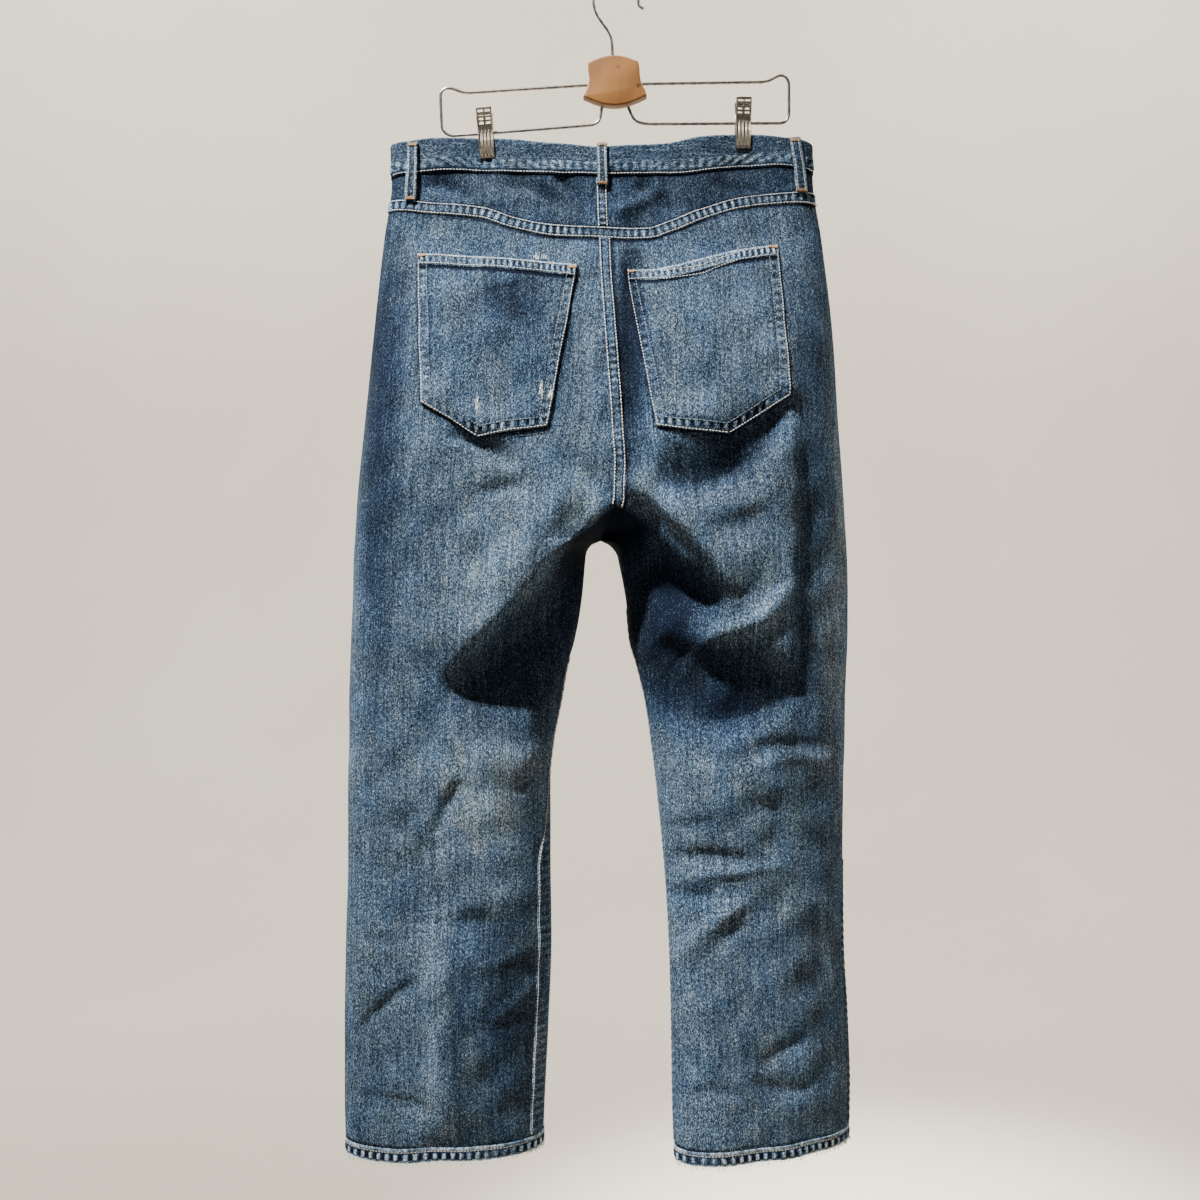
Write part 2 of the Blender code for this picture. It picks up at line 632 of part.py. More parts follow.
def make_fly(material, collection):
    outer, inner = [], []
    for t in FLY_SHARES:
        outer_row, inner_row = [], []
        curve = max((t - FLY_STRAIGHT) / (1 - FLY_STRAIGHT), 0)
        reach = FLY_LAP + FLY_WIDTH * max(math.sqrt(1 - curve**2), FLY_LEAST)
        for s in fractions(FLY_COLUMNS):
            mid = RISE["mid_x"](FLY_TOP + (FLY_BOTTOM - FLY_TOP) * t)
            x = mid + FLY_LAP - reach * (1 - s)
            top = WAIST["seam"](x) - SEAM_GAP / 2
            z = top + (FLY_BOTTOM - top) * t
            outer_row.append(place_point(FRONT, x, z, FLY_LIFT + FLY_WALL))
            inner_row.append(place_point(FRONT, x, z, FLY_LIFT))
        outer.append(outer_row)
        inner.append(inner_row)
    add_wall("fly", outer, inner, material, collection)


def make_belt_loops(material, collection):
    for name, (face, top, bottom) in LOOPS.items():
        outer, inner = [], []
        for t in fractions(LOOP_STEPS):
            x = top[0] + (bottom[0] - top[0]) * t
            z = top[1] + (bottom[1] - top[1]) * t
            bow = LOOP_BOW * max(math.sin(math.pi * t), 0) ** LOOP_BOW_POWER
            lift = WAISTBAND_OUT + SEAM_GAP + bow
            edges = (x - LOOP_WIDTH / 2, x, x + LOOP_WIDTH / 2)
            outer.append([place_point(face, edge, z, lift + LOOP_WALL) for edge in edges])
            inner.append([place_point(face, edge, z, lift) for edge in edges])
        add_wall(name, outer, inner, material, collection)


def make_hems(material, collection):
    steps = fractions(BACK_COLUMNS)
    for side in TOWARDS_MIDDLE:
        places = [(BACK, t) for t in steps[:-1]] + [(FRONT, 1 - t) for t in steps[:-1]]
        grid = [
            [(side, face, u, z) for face, u in places]
            for z in (HEM_TOP - SEAM_GAP / 2, (HEM_TOP + HEM_BOTTOM) / 2, HEM_BOTTOM)
        ]
        wall_of_points(f"leg_hem_{side}", grid, HEM_OUT, -HEM_IN, material, collection, closed=True)


def make_button(material, collection):
    """A domed metal button, turned about an axis that points out of the waistband."""
    place = place_point(FRONT, RISE["mid_x"](BUTTON_Z) + BUTTON_SHIFT, BUTTON_Z,
                        WAISTBAND_OUT + OVERLAP_LIFT + BUTTON_LIFT)
    bm = bmesh.new()
    chain = [bm.verts.new((0, 0, 0))]
    chain += [bm.verts.new(Vector((r, 0, h)) * MM) for r, h in BUTTON_PROFILE]
    edges = [bm.edges.new(pair) for pair in zip(chain, chain[1:])]
    bmesh.ops.spin(bm, geom=chain + edges, cent=(0, 0, 0), axis=(0, 0, 1),
                   angle=math.tau, steps=20, use_merge=True, use_duplicate=False)
    bmesh.ops.remove_doubles(bm, verts=bm.verts, dist=1e-5)
    turn = Matrix.Translation(place * MM) @ Matrix.Rotation(-math.pi / 2, 4, "X")
    bmesh.ops.transform(bm, matrix=turn, verts=bm.verts)
    add_object("waist_button", bm, material, collection)


def rounded_path(points, radius, steps=5):
    """A line through flat points, with each of its corners turned on a round of one size."""
    flat = [Vector((x, 0.0, z)) for x, z in points]
    path = [flat[0]]
    for before, corner, after in zip(flat, flat[1:], flat[2:]):
        reach_in = min(radius, (corner - before).length * BEND_SHARE)
        reach_out = min(radius, (after - corner).length * BEND_SHARE)
        start = corner + (before - corner).normalized() * reach_in
        end = corner + (after - corner).normalized() * reach_out
        for k in range(steps + 1):
            t = k / steps
            path.append(start * (1 - t) ** 2 + corner * 2 * t * (1 - t) + end * t * t)
    path.append(flat[-1])
    return path


def make_wire(name, path, material, collection):
    curve = bpy.data.curves.new(name, "CURVE")
    curve.dimensions = "3D"
    curve.bevel_depth = WIRE_RADIUS * MM
    curve.bevel_resolution = 2
    curve.use_fill_caps = True
    spline = curve.splines.new("POLY")
    spline.points.add(len(path) - 1)
    for spot, point in zip(spline.points, path):
        spot.co = (*(point * MM), 1)
    curve.materials.append(material)
    item = bpy.data.objects.new(name, curve)
    collection.objects.link(item)


def make_hook(material, collection):
    centre = Vector((0, 0, -HOOK_RADIUS))
    reach = HOOK_RADIUS + WIRE_RADIUS
    curl = [Vector((x, 0, z)) for x, z in HOOK_TIP]
    arc = [
        centre + reach * Vector((math.cos(math.radians(a)), 0, math.sin(math.radians(a))))
        for a in range(0, 181, HOOK_TURN)
    ]
    tail = rounded_path(((-reach, -HOOK_RADIUS), *HOOK_END), HOOK_BEND, 3)[1:]
    make_wire("hanger_hook", curl + arc + tail, material, collection)


def make_block(material, collection):
    """The wooden block: pinched at the waist, domed on top, and belled at the bottom."""
    left, right = BLOCK_SIDE, BLOCK_OTHER_SIDE
    outline = list(left)
    for k in range(1, BLOCK_STEPS):
        t = k / BLOCK_STEPS
        sag = BLOCK_BOTTOM_DROP * math.sin(math.pi * t)
        outline.append((left[-1][0] + (right[0][0] - left[-1][0]) * t,
                        left[-1][1] + (right[0][1] - left[-1][1]) * t - sag))
    outline += right
    for k in range(1, BLOCK_STEPS):
        t = k / BLOCK_STEPS
        rise = BLOCK_TOP_RISE * math.sin(math.pi * t)
        outline.append((right[-1][0] + (left[0][0] - right[-1][0]) * t,
                        right[-1][1] + (left[0][1] - right[-1][1]) * t + rise))
    bm = bmesh.new()
    ring = [bm.verts.new(Vector((x, -BLOCK_THICKNESS / 2, z)) * MM) for x, z in outline]
    front = bm.faces.new(ring)
    made = bmesh.ops.extrude_face_region(bm, geom=[front])["geom"]
    moved = [v for v in made if isinstance(v, bmesh.types.BMVert)]
    bmesh.ops.translate(bm, verts=moved, vec=(0, BLOCK_THICKNESS * MM, 0))
    rims = [e for e in bm.edges if abs(e.verts[0].co.y - e.verts[1].co.y) < 1e-6]
    bmesh.ops.bevel(bm, geom=rims, offset=BLOCK_EDGE * MM, segments=2, profile=0.5,
                    affect="EDGES", material=-1)
    add_object("hanger_block", bm, material, collection)


def make_clip(side, metal, collection):
    x, z, tilt = CLIPS[side]
    turn = Matrix.Translation(Vector((x, 0, z)) * MM) @ Matrix.Rotation(math.radians(-tilt), 4, "Y")
    for face, word in ((BACK, "back"), (FRONT, "front")):
        bm = bmesh.new()
        rows = []
        for y, height in JAW_PROFILE:
            rows.append([
                bm.verts.new(turn @ (Vector((across, face * (y + deep), height)) * MM))
                for across, deep in (
                    (-CLIP_WIDTH / 2, 0), (CLIP_WIDTH / 2, 0),
                    (CLIP_WIDTH / 2, JAW_WALL), (-CLIP_WIDTH / 2, JAW_WALL))
            ])
        for before, after in zip(rows, rows[1:]):
            for i in range(4):
                k = (i + 1) % 4
                bm.faces.new((before[i], before[k], after[k], after[i]))
        bm.faces.new(rows[0])
        bm.faces.new(rows[-1])
        add_object(f"clip_jaw_{word}_{side}", bm, metal, collection, smooth=False)
    bm = bmesh.new()
    corners = ((BARREL_INNER, -1), (BARREL_OUTER, -1), (BARREL_OUTER, 1), (BARREL_INNER, 1))
    ring = [bm.verts.new(Vector((end * BARREL_LENGTH / 2, 0, r)) * MM) for r, end in corners]
    edges = [bm.edges.new((ring[i], ring[(i + 1) % 4])) for i in range(4)]
    bmesh.ops.spin(bm, geom=ring + edges, cent=(0, 0, 0), axis=(1, 0, 0), angle=math.tau,
                   steps=16, use_merge=True, use_duplicate=False)
    bmesh.ops.transform(bm, matrix=turn, verts=bm.verts)
    add_object(f"clip_spring_{side}", bm, metal, collection)


def make_hanger(materials, collection):
    make_hook(materials["wire"], collection)
    make_block(materials["wood"], collection)
    for side, points in WIRES.items():
        make_wire(f"hanger_wire_{side}", rounded_path(points, WIRE_BEND), materials["wire"], collection)
        make_clip(side, materials["clip"], collection)


def main():
    clear_scene()
    collection = make_collection("straight_leg_jeans_on_hanger")
    materials = {name: make_material(name) for name in COLOURS}
    make_back_panels(materials["denim"], collection)
    make_front_panels(materials["denim"], collection)
    make_yokes(materials["denim_yoke"], collection)
    make_facings(materials["denim_yoke"], collection)
    make_waistband(materials["denim_trim"], collection)
    make_back_pockets(materials["denim_trim"], collection)
    make_fly(materials["denim"], collection)
    make_belt_loops(materials["denim_trim"], collection)
    make_hems(materials["denim_trim"], collection)
    make_button(materials["button"], collection)
    make_hanger(materials, collection)


main()
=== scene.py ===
import math

import bmesh
import bpy
import numpy as np
from mathutils import Matrix, Vector


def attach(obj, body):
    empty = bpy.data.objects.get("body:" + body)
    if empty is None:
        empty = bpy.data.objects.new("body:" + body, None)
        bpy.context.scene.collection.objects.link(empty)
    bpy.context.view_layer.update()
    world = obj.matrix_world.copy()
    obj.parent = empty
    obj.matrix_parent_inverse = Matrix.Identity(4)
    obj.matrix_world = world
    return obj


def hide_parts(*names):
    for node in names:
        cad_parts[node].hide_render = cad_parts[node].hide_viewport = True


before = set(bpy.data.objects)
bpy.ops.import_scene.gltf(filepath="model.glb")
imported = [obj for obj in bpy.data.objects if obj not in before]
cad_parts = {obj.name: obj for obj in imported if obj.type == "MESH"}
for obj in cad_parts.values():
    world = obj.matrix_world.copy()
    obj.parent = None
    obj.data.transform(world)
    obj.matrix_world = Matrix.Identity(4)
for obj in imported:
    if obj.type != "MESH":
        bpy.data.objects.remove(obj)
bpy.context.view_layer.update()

# ---------------------------------------------------------------- back panels
# Two legs' backs of washed cotton denim, each one cut of cloth from the yoke seam to
# the hem. They hang from the clipped waist, so the seat bulges and rolls over the
# thighs, and the knees and shins keep the creases that the wearer left.
MM = 0.001
TINY = 1e-6
BACK, FRONT = -1, 1
INWARDS = {"left": 1, "right": -1}
WALL = 1.6
SEAM_GAP = 0.3

CROTCH_Z, CROTCH_Y = -572.0, 3.0
ARCH_HEIGHT = 16.0
BACK_RISE_ROUND, FRONT_RISE_ROUND = 38.0, 36.0
HIP_BLEND = 75.0
VALLEY_SOFTNESS = 12.0
BRIDGE_SHARE, BRIDGE_SUNK = 0.7, 14.0
LIP_FALL, LIP_TURN = {"left": 1.4, "right": 0.5}, 1.4
ARCH_SPREAD, ARCH_ROUND = 24.0, 10.0

RISE_COLUMNS = ("z", "mid_x", "back_y", "front_y", "seat", "belly")
RISE_ROWS = (
    (-160, -16, -9, 9, 0, 0),
    (-205, -15, -12, 11, 1, 0),
    (-262, -13, -20, 15, 5, 1),
    (-310, -11, -33, 18, 8, 2),
    (-365, -7, -45, 20, 10, 3),
    (-420, -3, -54, 22, 9, 4),
    (-465, 0, -59, 24, 7, 4),
    (-500, 2, -62, 25, 4, 4),
    (-532, 1, -62, 26, 3, 4),
    (-548, -4, -62, 26, 3, 4),
    (-572, -16, -62, 26, 2, 4),
)
# A row has what both halves share, and then the left half's own columns and the right's.
SHARED_COLUMNS = ("z", "front", "out_r", "in_r")
OWN_COLUMNS = ("out_x", "out_y", "in_x", "in_y", "back")
HALF_ROWS = (
    (-160, 10, 14, 60, (-230, 0, -16, 0, 20), (200, 0, -16, 0, 20)),
    (-205, 12, 20, 60, (-229, 0, -16, 0, 30), (201, 0, -16, 0, 30)),
    (-264, 16, 34, 60, (-237, 2, -16, 0, 40), (210, 2, -16, 0, 40)),
    (-366, 20, 60, 60, (-248, 4, -16, 0, 60), (222, 5, -16, 0, 60)),
    (-448, 23, 74, 60, (-256, 4, -16, 0, 67), (227, 6, -16, 0, 67)),
    (-529, 26, 84, 70, (-264, 4, -16, 3, 67), (233, 7, -16, 3, 67)),
    (-561, 28, 88, 80, (-266, 4, -28, 3, 65), (235, 7, -4, 3, 65)),
    (-590, 29, 90, 84, (-268, 4, -31, 3, 63), (237, 8, 2, 3, 63)),
    (-632, 30, 92, 88, (-269, 4, -35, 3, 60), (238, 9, 10, 2, 60)),
    (-672, 31, 94, 90, (-271, 4, -42, 3, 57), (238, 10, 14, 1, 57)),
    (-700, 32, 94, 90, (-272, 4, -50, 4, 55), (237, 11, 22, 0, 55)),
    (-734, 33, 92, 88, (-273, 4, -56, 4, 53), (236, 12, 30, 0, 53)),
    (-775, 34, 88, 82, (-273, 4, -64, 5, 50), (236, 14, 36, -2, 50)),
    (-816, 35, 84, 76, (-274, 3, -68, 6, 47), (235, 16, 41, -4, 47)),
    (-897, 36, 82, 74, (-274, 3, -67, 9, 43), (235, 20, 49, -8, 43)),
    (-979, 37, 82, 74, (-276, 2, -66, 11, 41), (236, 23, 54, -11, 41)),
    (-1061, 37, 82, 74, (-277, 1, -69, 14, 40), (241, 27, 56, -15, 40)),
    (-1143, 37, 80, 72, (-277, 1, -73, 16, 40), (244, 30, 57, -19, 38)),
    (-1191, 36, 78, 70, (-275, 0, -75, 17, 40), (244, 33, 59, -21, 36)),
)
YOKE_ROWS = (
    (-240, -230), (-195, -236), (-136, -242), (-104, -253), (-56, -261), (-14, -262),
    (33, -264), (54, -257), (85, -244), (120, -233), (154, -227), (212, -224),
)
HEM_TOP, HEM_BOTTOM = -1177.0, -1191.0
PINCH_X = {"left": -133.0, "right": 129.8}
PINCH_REACH, PINCH_Y, PINCH_TOP_Z, PINCH_END_Z = 26.0, 2.6, -185.0, -235.0

# A fold's row is (x0, z0, xm, zm, x1, z1, near, far, height): where its bent line starts,
# bends and ends, how far it reaches to the left and to the right as seen along it, and
# its height, which is negative for a hollow.
FOLD_ROWS = {
    BACK: (
        (-8, -526, -72, -600, -178, -704, 12, 46, 11),
        (-4, -560, -74, -652, -164, -730, 58, 18, -27),
        (-182, -762, -115, -790, -56, -782, 14, 44, 4),
        (-166, -472, -134, -482, -98, -505, 14, 5, -6),
        (-130, -532, -110, -524, -86, -524, 9, 5, -3.2),
        (5, -514, 66, -561, 121, -628, 28, 9, 12),
        (9, -552, 54, -604, 107, -643, 13, 40, -24),
        (152, -620, 141, -649, 66, -671, 14, 10, 10),
        (10, -702, 98, -752, 186, -708, 68, 13, -20),
        (12, -630, 40, -680, 110, -700, 18, 50, -11),
        (50, -782, 108, -804, 172, -780, 12, 46, 4),
        (34, -512, 112, -506, 172, -428, 36, 11, -15),
        (72, -545, 126, -538, 162, -500, 14, 12, 3),
        (166, -371, 172, -592, 166, -777, 7, 42, 4.5),
        (182, -361, 187, -580, 182, -790, 26, 9, -3.5),
        (-215, -263, -217, -449, -215, -652, 16, 12, -5),
        (-247, -260, -258, -448, -264, -652, 14, 16, 3),
        (-122, -211, -85, -217, -48, -241, 10, 5, -5),
        (-62, -204, -42, -221, -34, -248, 8, 5, -4),
        (-196, -212, -166, -216, -140, -232, 9, 5, -4),
        (-8, -239, 24, -230, 46, -211, 6, 9, 4.5),
        (18, -212, 40, -224, 54, -246, 9, 5, -5),
        (96, -208, 122, -214, 150, -212, 7, 5, -3),
        (-103, -318, -101, -340, -107, -366, 26, 26, -2.2),
        (82, -329, 94, -367, 90, -408, 7, 8, 2),
        (66, -337, 72, -367, 72, -388, 7, 7, -1.6),
        (-28, -306, -32, -367, -24, -455, 9, 12, -2.5),
        (14, -280, 12, -367, 22, -490, 15, 8, -9),
        (-179, -868, -169, -836, -151, -808, 6, 7, -3.5),
        (-100, -826, -86, -812, -68, -804, 8, 7, -3.5),
        (-175, -937, -133, -932, -80, -917, 16, 13, 2.3),
        (-171, -875, -166, -903, -168, -933, 10, 14, 2.9),
        (-172, -951, -172, -1058, -171, -1177, 52, 24, 12),
        (-174, -930, -173, -1058, -172, -1170, 16, 8, 1.6),
        (-265, -1074, -231, -1036, -195, -1008, 6, 5, -3.8),
        (-273, -1128, -222, -1129, -175, -1140, 5, 9, -2.0),
        (-271, -966, -241, -972, -209, -970, 8, 6, -2.2),
        (-129, -1052, -104, -1038, -80, -1012, 7, 8, 2.9),
        (-137, -996, -110, -990, -80, -979, 7, 8, 1.9),
        (-215, -872, -207, -852, -191, -842, 8, 8, -1.9),
        (48, -894, 84, -885, 132, -892, 8, 7, -5.1),
        (48, -920, 72, -926, 100, -924, 8, 7, -5.1),
        (52, -908, 104, -902, 172, -894, 6, 7, 2.9),
        (48, -858, 74, -855, 100, -848, 7, 7, -2.9),
        (52, -998, 88, -958, 136, -926, 8, 8, 3.8),
        (60, -1016, 96, -978, 128, -950, 8, 8, -2.9),
        (152, -822, 160, -852, 152, -882, 14, 14, -3.8),
        (136, -800, 176, -787, 222, -796, 6, 8, 1.8),
        (136, -780, 176, -774, 220, -784, 7, 6, -1.6),
        (142, -1100, 166, -1082, 196, -1076, 8, 8, -2.9),
        (132, -1106, 166, -1122, 204, -1120, 8, 8, -2.9),
        (50, -1062, 68, -1078, 84, -1102, 8, 8, -2.9),
        (56, -1130, 96, -1118, 132, -1124, 8, 8, -2.6),
        (204, -935, 210, -1036, 216, -1148, 10, 12, -2.9),
    ),
    FRONT: (
        (-196, -470, -140, -510, -60, -530, 14, 12, -5),
        (-206, -520, -150, -560, -80, -572, 14, 12, -4),
        (160, -470, 110, -505, 40, -530, 12, 14, -5),
        (176, -520, 130, -556, 60, -574, 12, 14, -4),
        (-170, -820, -168, -1000, -170, -1170, 30, 26, 5),
        (145, -820, 148, -1000, 150, -1170, 26, 30, 5),
        (-250, -830, -200, -845, -130, -836, 12, 11, -4),
        (-246, -905, -190, -890, -120, -902, 12, 11, -4),
        (210, -826, 160, -842, 90, -834, 11, 12, -4),
        (214, -900, 150, -888, 86, -900, 11, 12, -4),
        (-240, -1060, -200, -1090, -130, -1080, 12, 12, -3),
        (120, -1060, 160, -1088, 214, -1076, 12, 12, -3),
    ),
}
FOLD_STEPS, FOLD_MARGIN = 8, 2.6
U_STEP, Z_STEP = 0.001, 0.5


def line_through(rows, column):
    """A smooth line down a table's rows that never overshoots their values."""
    table = np.array(sorted((row[0], row[column]) for row in rows), float)
    xs, ys = table[:, 0], table[:, 1]
    slopes = np.diff(ys) / np.diff(xs)
    product, total = slopes[:-1] * slopes[1:], slopes[:-1] + slopes[1:]
    inner = np.where(product > 0, 2 * product / np.where(total == 0, 1, total), 0)
    bends = np.concatenate((slopes[:1], inner, slopes[-1:]))

    def at(x):
        x = np.asarray(x, float)
        i = np.clip(np.searchsorted(xs, x, "right") - 1, 0, len(xs) - 2)
        width = xs[i + 1] - xs[i]
        t = (x - xs[i]) / width
        y = (ys[i] * (1 + 2 * t) * (1 - t) ** 2 + ys[i + 1] * t * t * (3 - 2 * t)
             + width * (bends[i] * t * (1 - t) ** 2 - bends[i + 1] * t * t * (1 - t)))
        y = np.where(x <= xs[0], ys[0] + bends[0] * (x - xs[0]), y)
        return np.where(x >= xs[-1], ys[-1] + bends[-1] * (x - xs[-1]), y)

    return at


def lines_of(rows, columns):
    return {name: line_through(rows, i) for i, name in enumerate(columns) if i}


def bent_line(x0, z0, xm, zm, x1, z1, steps):
    t = np.linspace(0, 1, steps + 1)[:, None]
    start, middle, end = (np.array(p, float) for p in ((x0, z0), (xm, zm), (x1, z1)))
    bend = 2 * middle - (start + end) / 2
    return start * (1 - t) ** 2 + bend * 2 * t * (1 - t) + end * t * t


RISE = lines_of(RISE_ROWS, RISE_COLUMNS)
HALF = {
    side: lines_of([(*row[:4], *row[4 + k]) for row in HALF_ROWS], SHARED_COLUMNS + OWN_COLUMNS)
    for k, side in enumerate(INWARDS)
}
YOKE_SEAM = line_through(YOKE_ROWS, 1)
FOLDS = {
    face: [(bent_line(*row[:6], FOLD_STEPS), *row[6:]) for row in rows]
    for face, rows in FOLD_ROWS.items()
}
SWELL_COUNT, SWELL_PACE, SWELL_HEIGHT, FULL_TURN = 14, (0.05, 0.17), (0.16, 0.42), (0, math.tau)
chance = np.random.RandomState(17)
SWELLS = [
    [chance.uniform(*span) for span in (SWELL_PACE, FULL_TURN, FULL_TURN, SWELL_HEIGHT)]
    for _ in range(SWELL_COUNT)
]


def rolled(t):
    """Height of a quarter round, t along it from 0 to 1, and level after that."""
    return np.sqrt(1 - (1 - np.clip(t, 0, 1)) ** 2)


def eased(t):
    t = np.clip(t, 0, 1)
    return t * t * (3 - 2 * t)


def hump(away, reach):
    """A soft bump: 1 where away is 0, and almost gone at twice its reach."""
    return np.exp(-((away / reach) ** 2))


def patch_at(x, z, at_x, at_z, reach_x, reach_z):
    """A soft oval: 1 at its middle, and almost gone at twice its reach."""
    return np.exp(-(((x - at_x) / reach_x) ** 2) - ((z - at_z) / reach_z) ** 2)


def fold_height(face, x, z):
    """How far the folds lift the cloth at places across and down it."""
    place = np.stack((x, z), -1).reshape(-1, 2)
    total = np.zeros(len(place))
    for line, near, far, height in FOLDS[face]:
        margin = max(near, far) * FOLD_MARGIN
        close = np.all((place > line.min(0) - margin) & (place < line.max(0) + margin), axis=1)
        spots = np.flatnonzero(close)
        if not len(spots):
            continue
        start, step = line[:-1], np.diff(line, axis=0)
        from_start = place[spots][:, None] - start
        t = np.clip((from_start * step).sum(-1) / (step**2).sum(-1), 0, 1)
        away = from_start - t[..., None] * step
        distance = np.hypot(away[..., 0], away[..., 1])
        pick = (np.arange(len(spots)), distance.argmin(1))
        went, off = step[pick[1]], away[pick]
        left = went[:, 0] * off[:, 1] - went[:, 1] * off[:, 0] > 0
        along = (pick[1] + t[pick]) / len(step)
        taper = 1 - (2 * along - 1) ** 4
        total[spots] += height * taper * hump(distance[pick], np.where(left, near, far))
    return total.reshape(np.shape(x))


def swell(x, z):
    """The slight unevenness of washed cloth."""
    total = np.zeros(np.shape(x))
    for pace, turn, start, height in SWELLS:
        total += height * np.sin(pace * (x * math.cos(turn) + z * math.sin(turn)) + start)
    return total


def pressed(x, z):
    """How firmly the clips press the waist flat at a place, from 0 to 1."""
    press = eased((z - PINCH_END_Z) / (PINCH_TOP_Z - PINCH_END_Z))
    return press * sum(hump(x - spot, PINCH_REACH) for spot in PINCH_X.values())


def lip_share(fall, above):
    """How near a place is to the seat's lip: 0 deep under it, 1 on it and over it."""
    return np.clip((above + fall) / BACK_RISE_ROUND, 0, 1)


def share_across(u, z):
    hip = eased((z - CROTCH_Z) / HIP_BLEND)
    leg_share = (1 - np.cos(np.pi * u)) / 2
    leg_share = np.where(u > 1, 2 - leg_share, leg_share)
    return (1 - hip) * leg_share + hip * (1 - np.cos(np.pi * u / 2))


def edges_at(side, z):
    """Where one half's cloth starts at the outseam and ends at the middle."""
    out_x = HALF[side]["out_x"](z)
    mid_x = RISE["mid_x"](z)
    arch = rolled((CROTCH_Z - z) / ARCH_HEIGHT)
    in_x = mid_x + (HALF[side]["in_x"](z) - mid_x) * arch - INWARDS[side] * SEAM_GAP / 2
    return out_x, in_x


def cloth(side, face, u, z):
    """Places on the cloth's outer surface: u runs from the outseam, 0, to the middle, 1."""
    u, z = np.broadcast_arrays(np.asarray(u, float), np.asarray(z, float))
    half = {name: line(z) for name, line in HALF[side].items()}
    rise = {name: line(z) for name, line in RISE.items()}
    out_x, in_x = edges_at(side, z)
    width = np.abs(in_x - out_x)
    above = z - CROTCH_Z
    hip = eased(above / HIP_BLEND)
    across = share_across(u, z)
    out_roll = np.copysign(rolled(width * across / half["out_r"]), u)
    gap = np.abs(width * (1 - across))
    opened = np.abs(in_x - rise["mid_x"]) * (above < 0)
    spread = hump(above, ARCH_SPREAD)
    round_edge = np.minimum(opened, ARCH_ROUND) * spread + TINY
    edge = np.where(opened > 0, rolled(gap / round_edge), 1)
    gap = gap + opened * spread
    in_roll = np.copysign(rolled(gap / half["in_r"]) * edge, 1 - u)
    back = face == BACK
    belly, seat = (half["back"], rise["seat"]) if back else (half["front"], rise["belly"])
    deep = rise["back_y"] if back else rise["front_y"]
    if back:
        fall = LIP_FALL[side] * np.copysign(gap, 1 - u)
        rounded = edge * (1 - (1 - lip_share(fall, above)) ** LIP_TURN)
    else:
        rounded = rolled(above / FRONT_RISE_ROUND)
    flat_y = half["out_y"] + (half["in_y"] - half["out_y"]) * across
    leg_y = flat_y + face * belly * out_roll * in_roll
    middle_y = CROTCH_Y + (deep - CROTCH_Y) * rounded
    hip_y = (half["out_y"] + (middle_y - half["out_y"]) * out_roll
             + face * seat * np.sin(np.pi * across) ** 2)
    bridged = eased((1 - across) / BRIDGE_SHARE)
    bridge_y = middle_y + (flat_y - face * BRIDGE_SUNK - middle_y) * bridged
    soft = VALLEY_SOFTNESS * rounded + TINY
    higher, lower = face * leg_y, face * bridge_y
    blended = np.maximum(soft - np.abs(higher - lower), 0)
    joined = np.maximum(higher, lower) + blended**2 / (4 * soft)
    y = np.where(rounded > 0, hip * hip_y + (1 - hip) * face * joined, leg_y)
    x = out_x + INWARDS[side] * width * across
    held = np.abs(out_roll) * (hip + (1 - hip) * np.abs(in_roll))
    y = y + face * held * (fold_height(face, x, z) + swell(x, z))
    y = y + (face * PINCH_Y - y) * pressed(x, z)
    return np.stack((x, y + face * SEAM_GAP / 2, z), -1)


def on_cloth(side, face, u, z, out=0.0):
    """Places on the cloth, moved out along its normal."""
    u, z = np.broadcast_arrays(np.asarray(u, float), np.asarray(z, float))
    across = cloth(side, face, u + U_STEP, z) - cloth(side, face, u - U_STEP, z)
    down = cloth(side, face, u, z + Z_STEP) - cloth(side, face, u, z - Z_STEP)
    normal = np.cross(across, down) * (-face * INWARDS[side])
    normal /= np.linalg.norm(normal, axis=-1, keepdims=True)
    return cloth(side, face, u, z) + normal * np.broadcast_to(out, u.shape)[..., None]


HALVINGS = 22
FIRST_LEVEL, LEVEL_ROUNDS = -250.0, 5


def u_reaching(side, x, z):
    """The u at which one half's cloth reaches places across it."""
    out_x, in_x = edges_at(side, z)
    goal = np.clip((x - out_x) / (in_x - out_x), 0, 1)
    low, high = np.zeros(goal.shape), np.ones(goal.shape)
    for _ in range(HALVINGS):
        middle = (low + high) / 2
        past = share_across(middle, z) > goal
        low, high = np.where(past, low, middle), np.where(past, middle, high)
    return (low + high) / 2


def over_cloth(face, x, z, out=0.0):
    """Places over the cloth, given across it and by their height."""
    x, z = np.broadcast_arrays(np.asarray(x, float), np.asarray(z, float))
    out = np.broadcast_to(out, x.shape)
    made = np.empty((*x.shape, 3))
    on_left = x < RISE["mid_x"](z)
    for side, these in (("left", on_left), ("right", ~on_left)):
        if these.any():
            at_u = u_reaching(side, x[these], z[these])
            made[these] = on_cloth(side, face, at_u, z[these], out[these])
    return made


def level_of(side, face, u, line):
    """The height at which each column of one half meets a line across the jeans."""
    z = np.full(np.shape(u), FIRST_LEVEL)
    for _ in range(LEVEL_ROUNDS):
        z = line(cloth(side, face, u, z)[..., 0])
    return z


def run_along(points, axis):
    """How far along a grid's rows or columns each of its points lies, in mm."""
    gaps = np.linalg.norm(np.diff(points, axis=axis), axis=-1)
    first = np.zeros_like(np.take(gaps, [0], axis=axis))
    return np.concatenate((first, np.cumsum(gaps, axis=axis)), axis=axis)


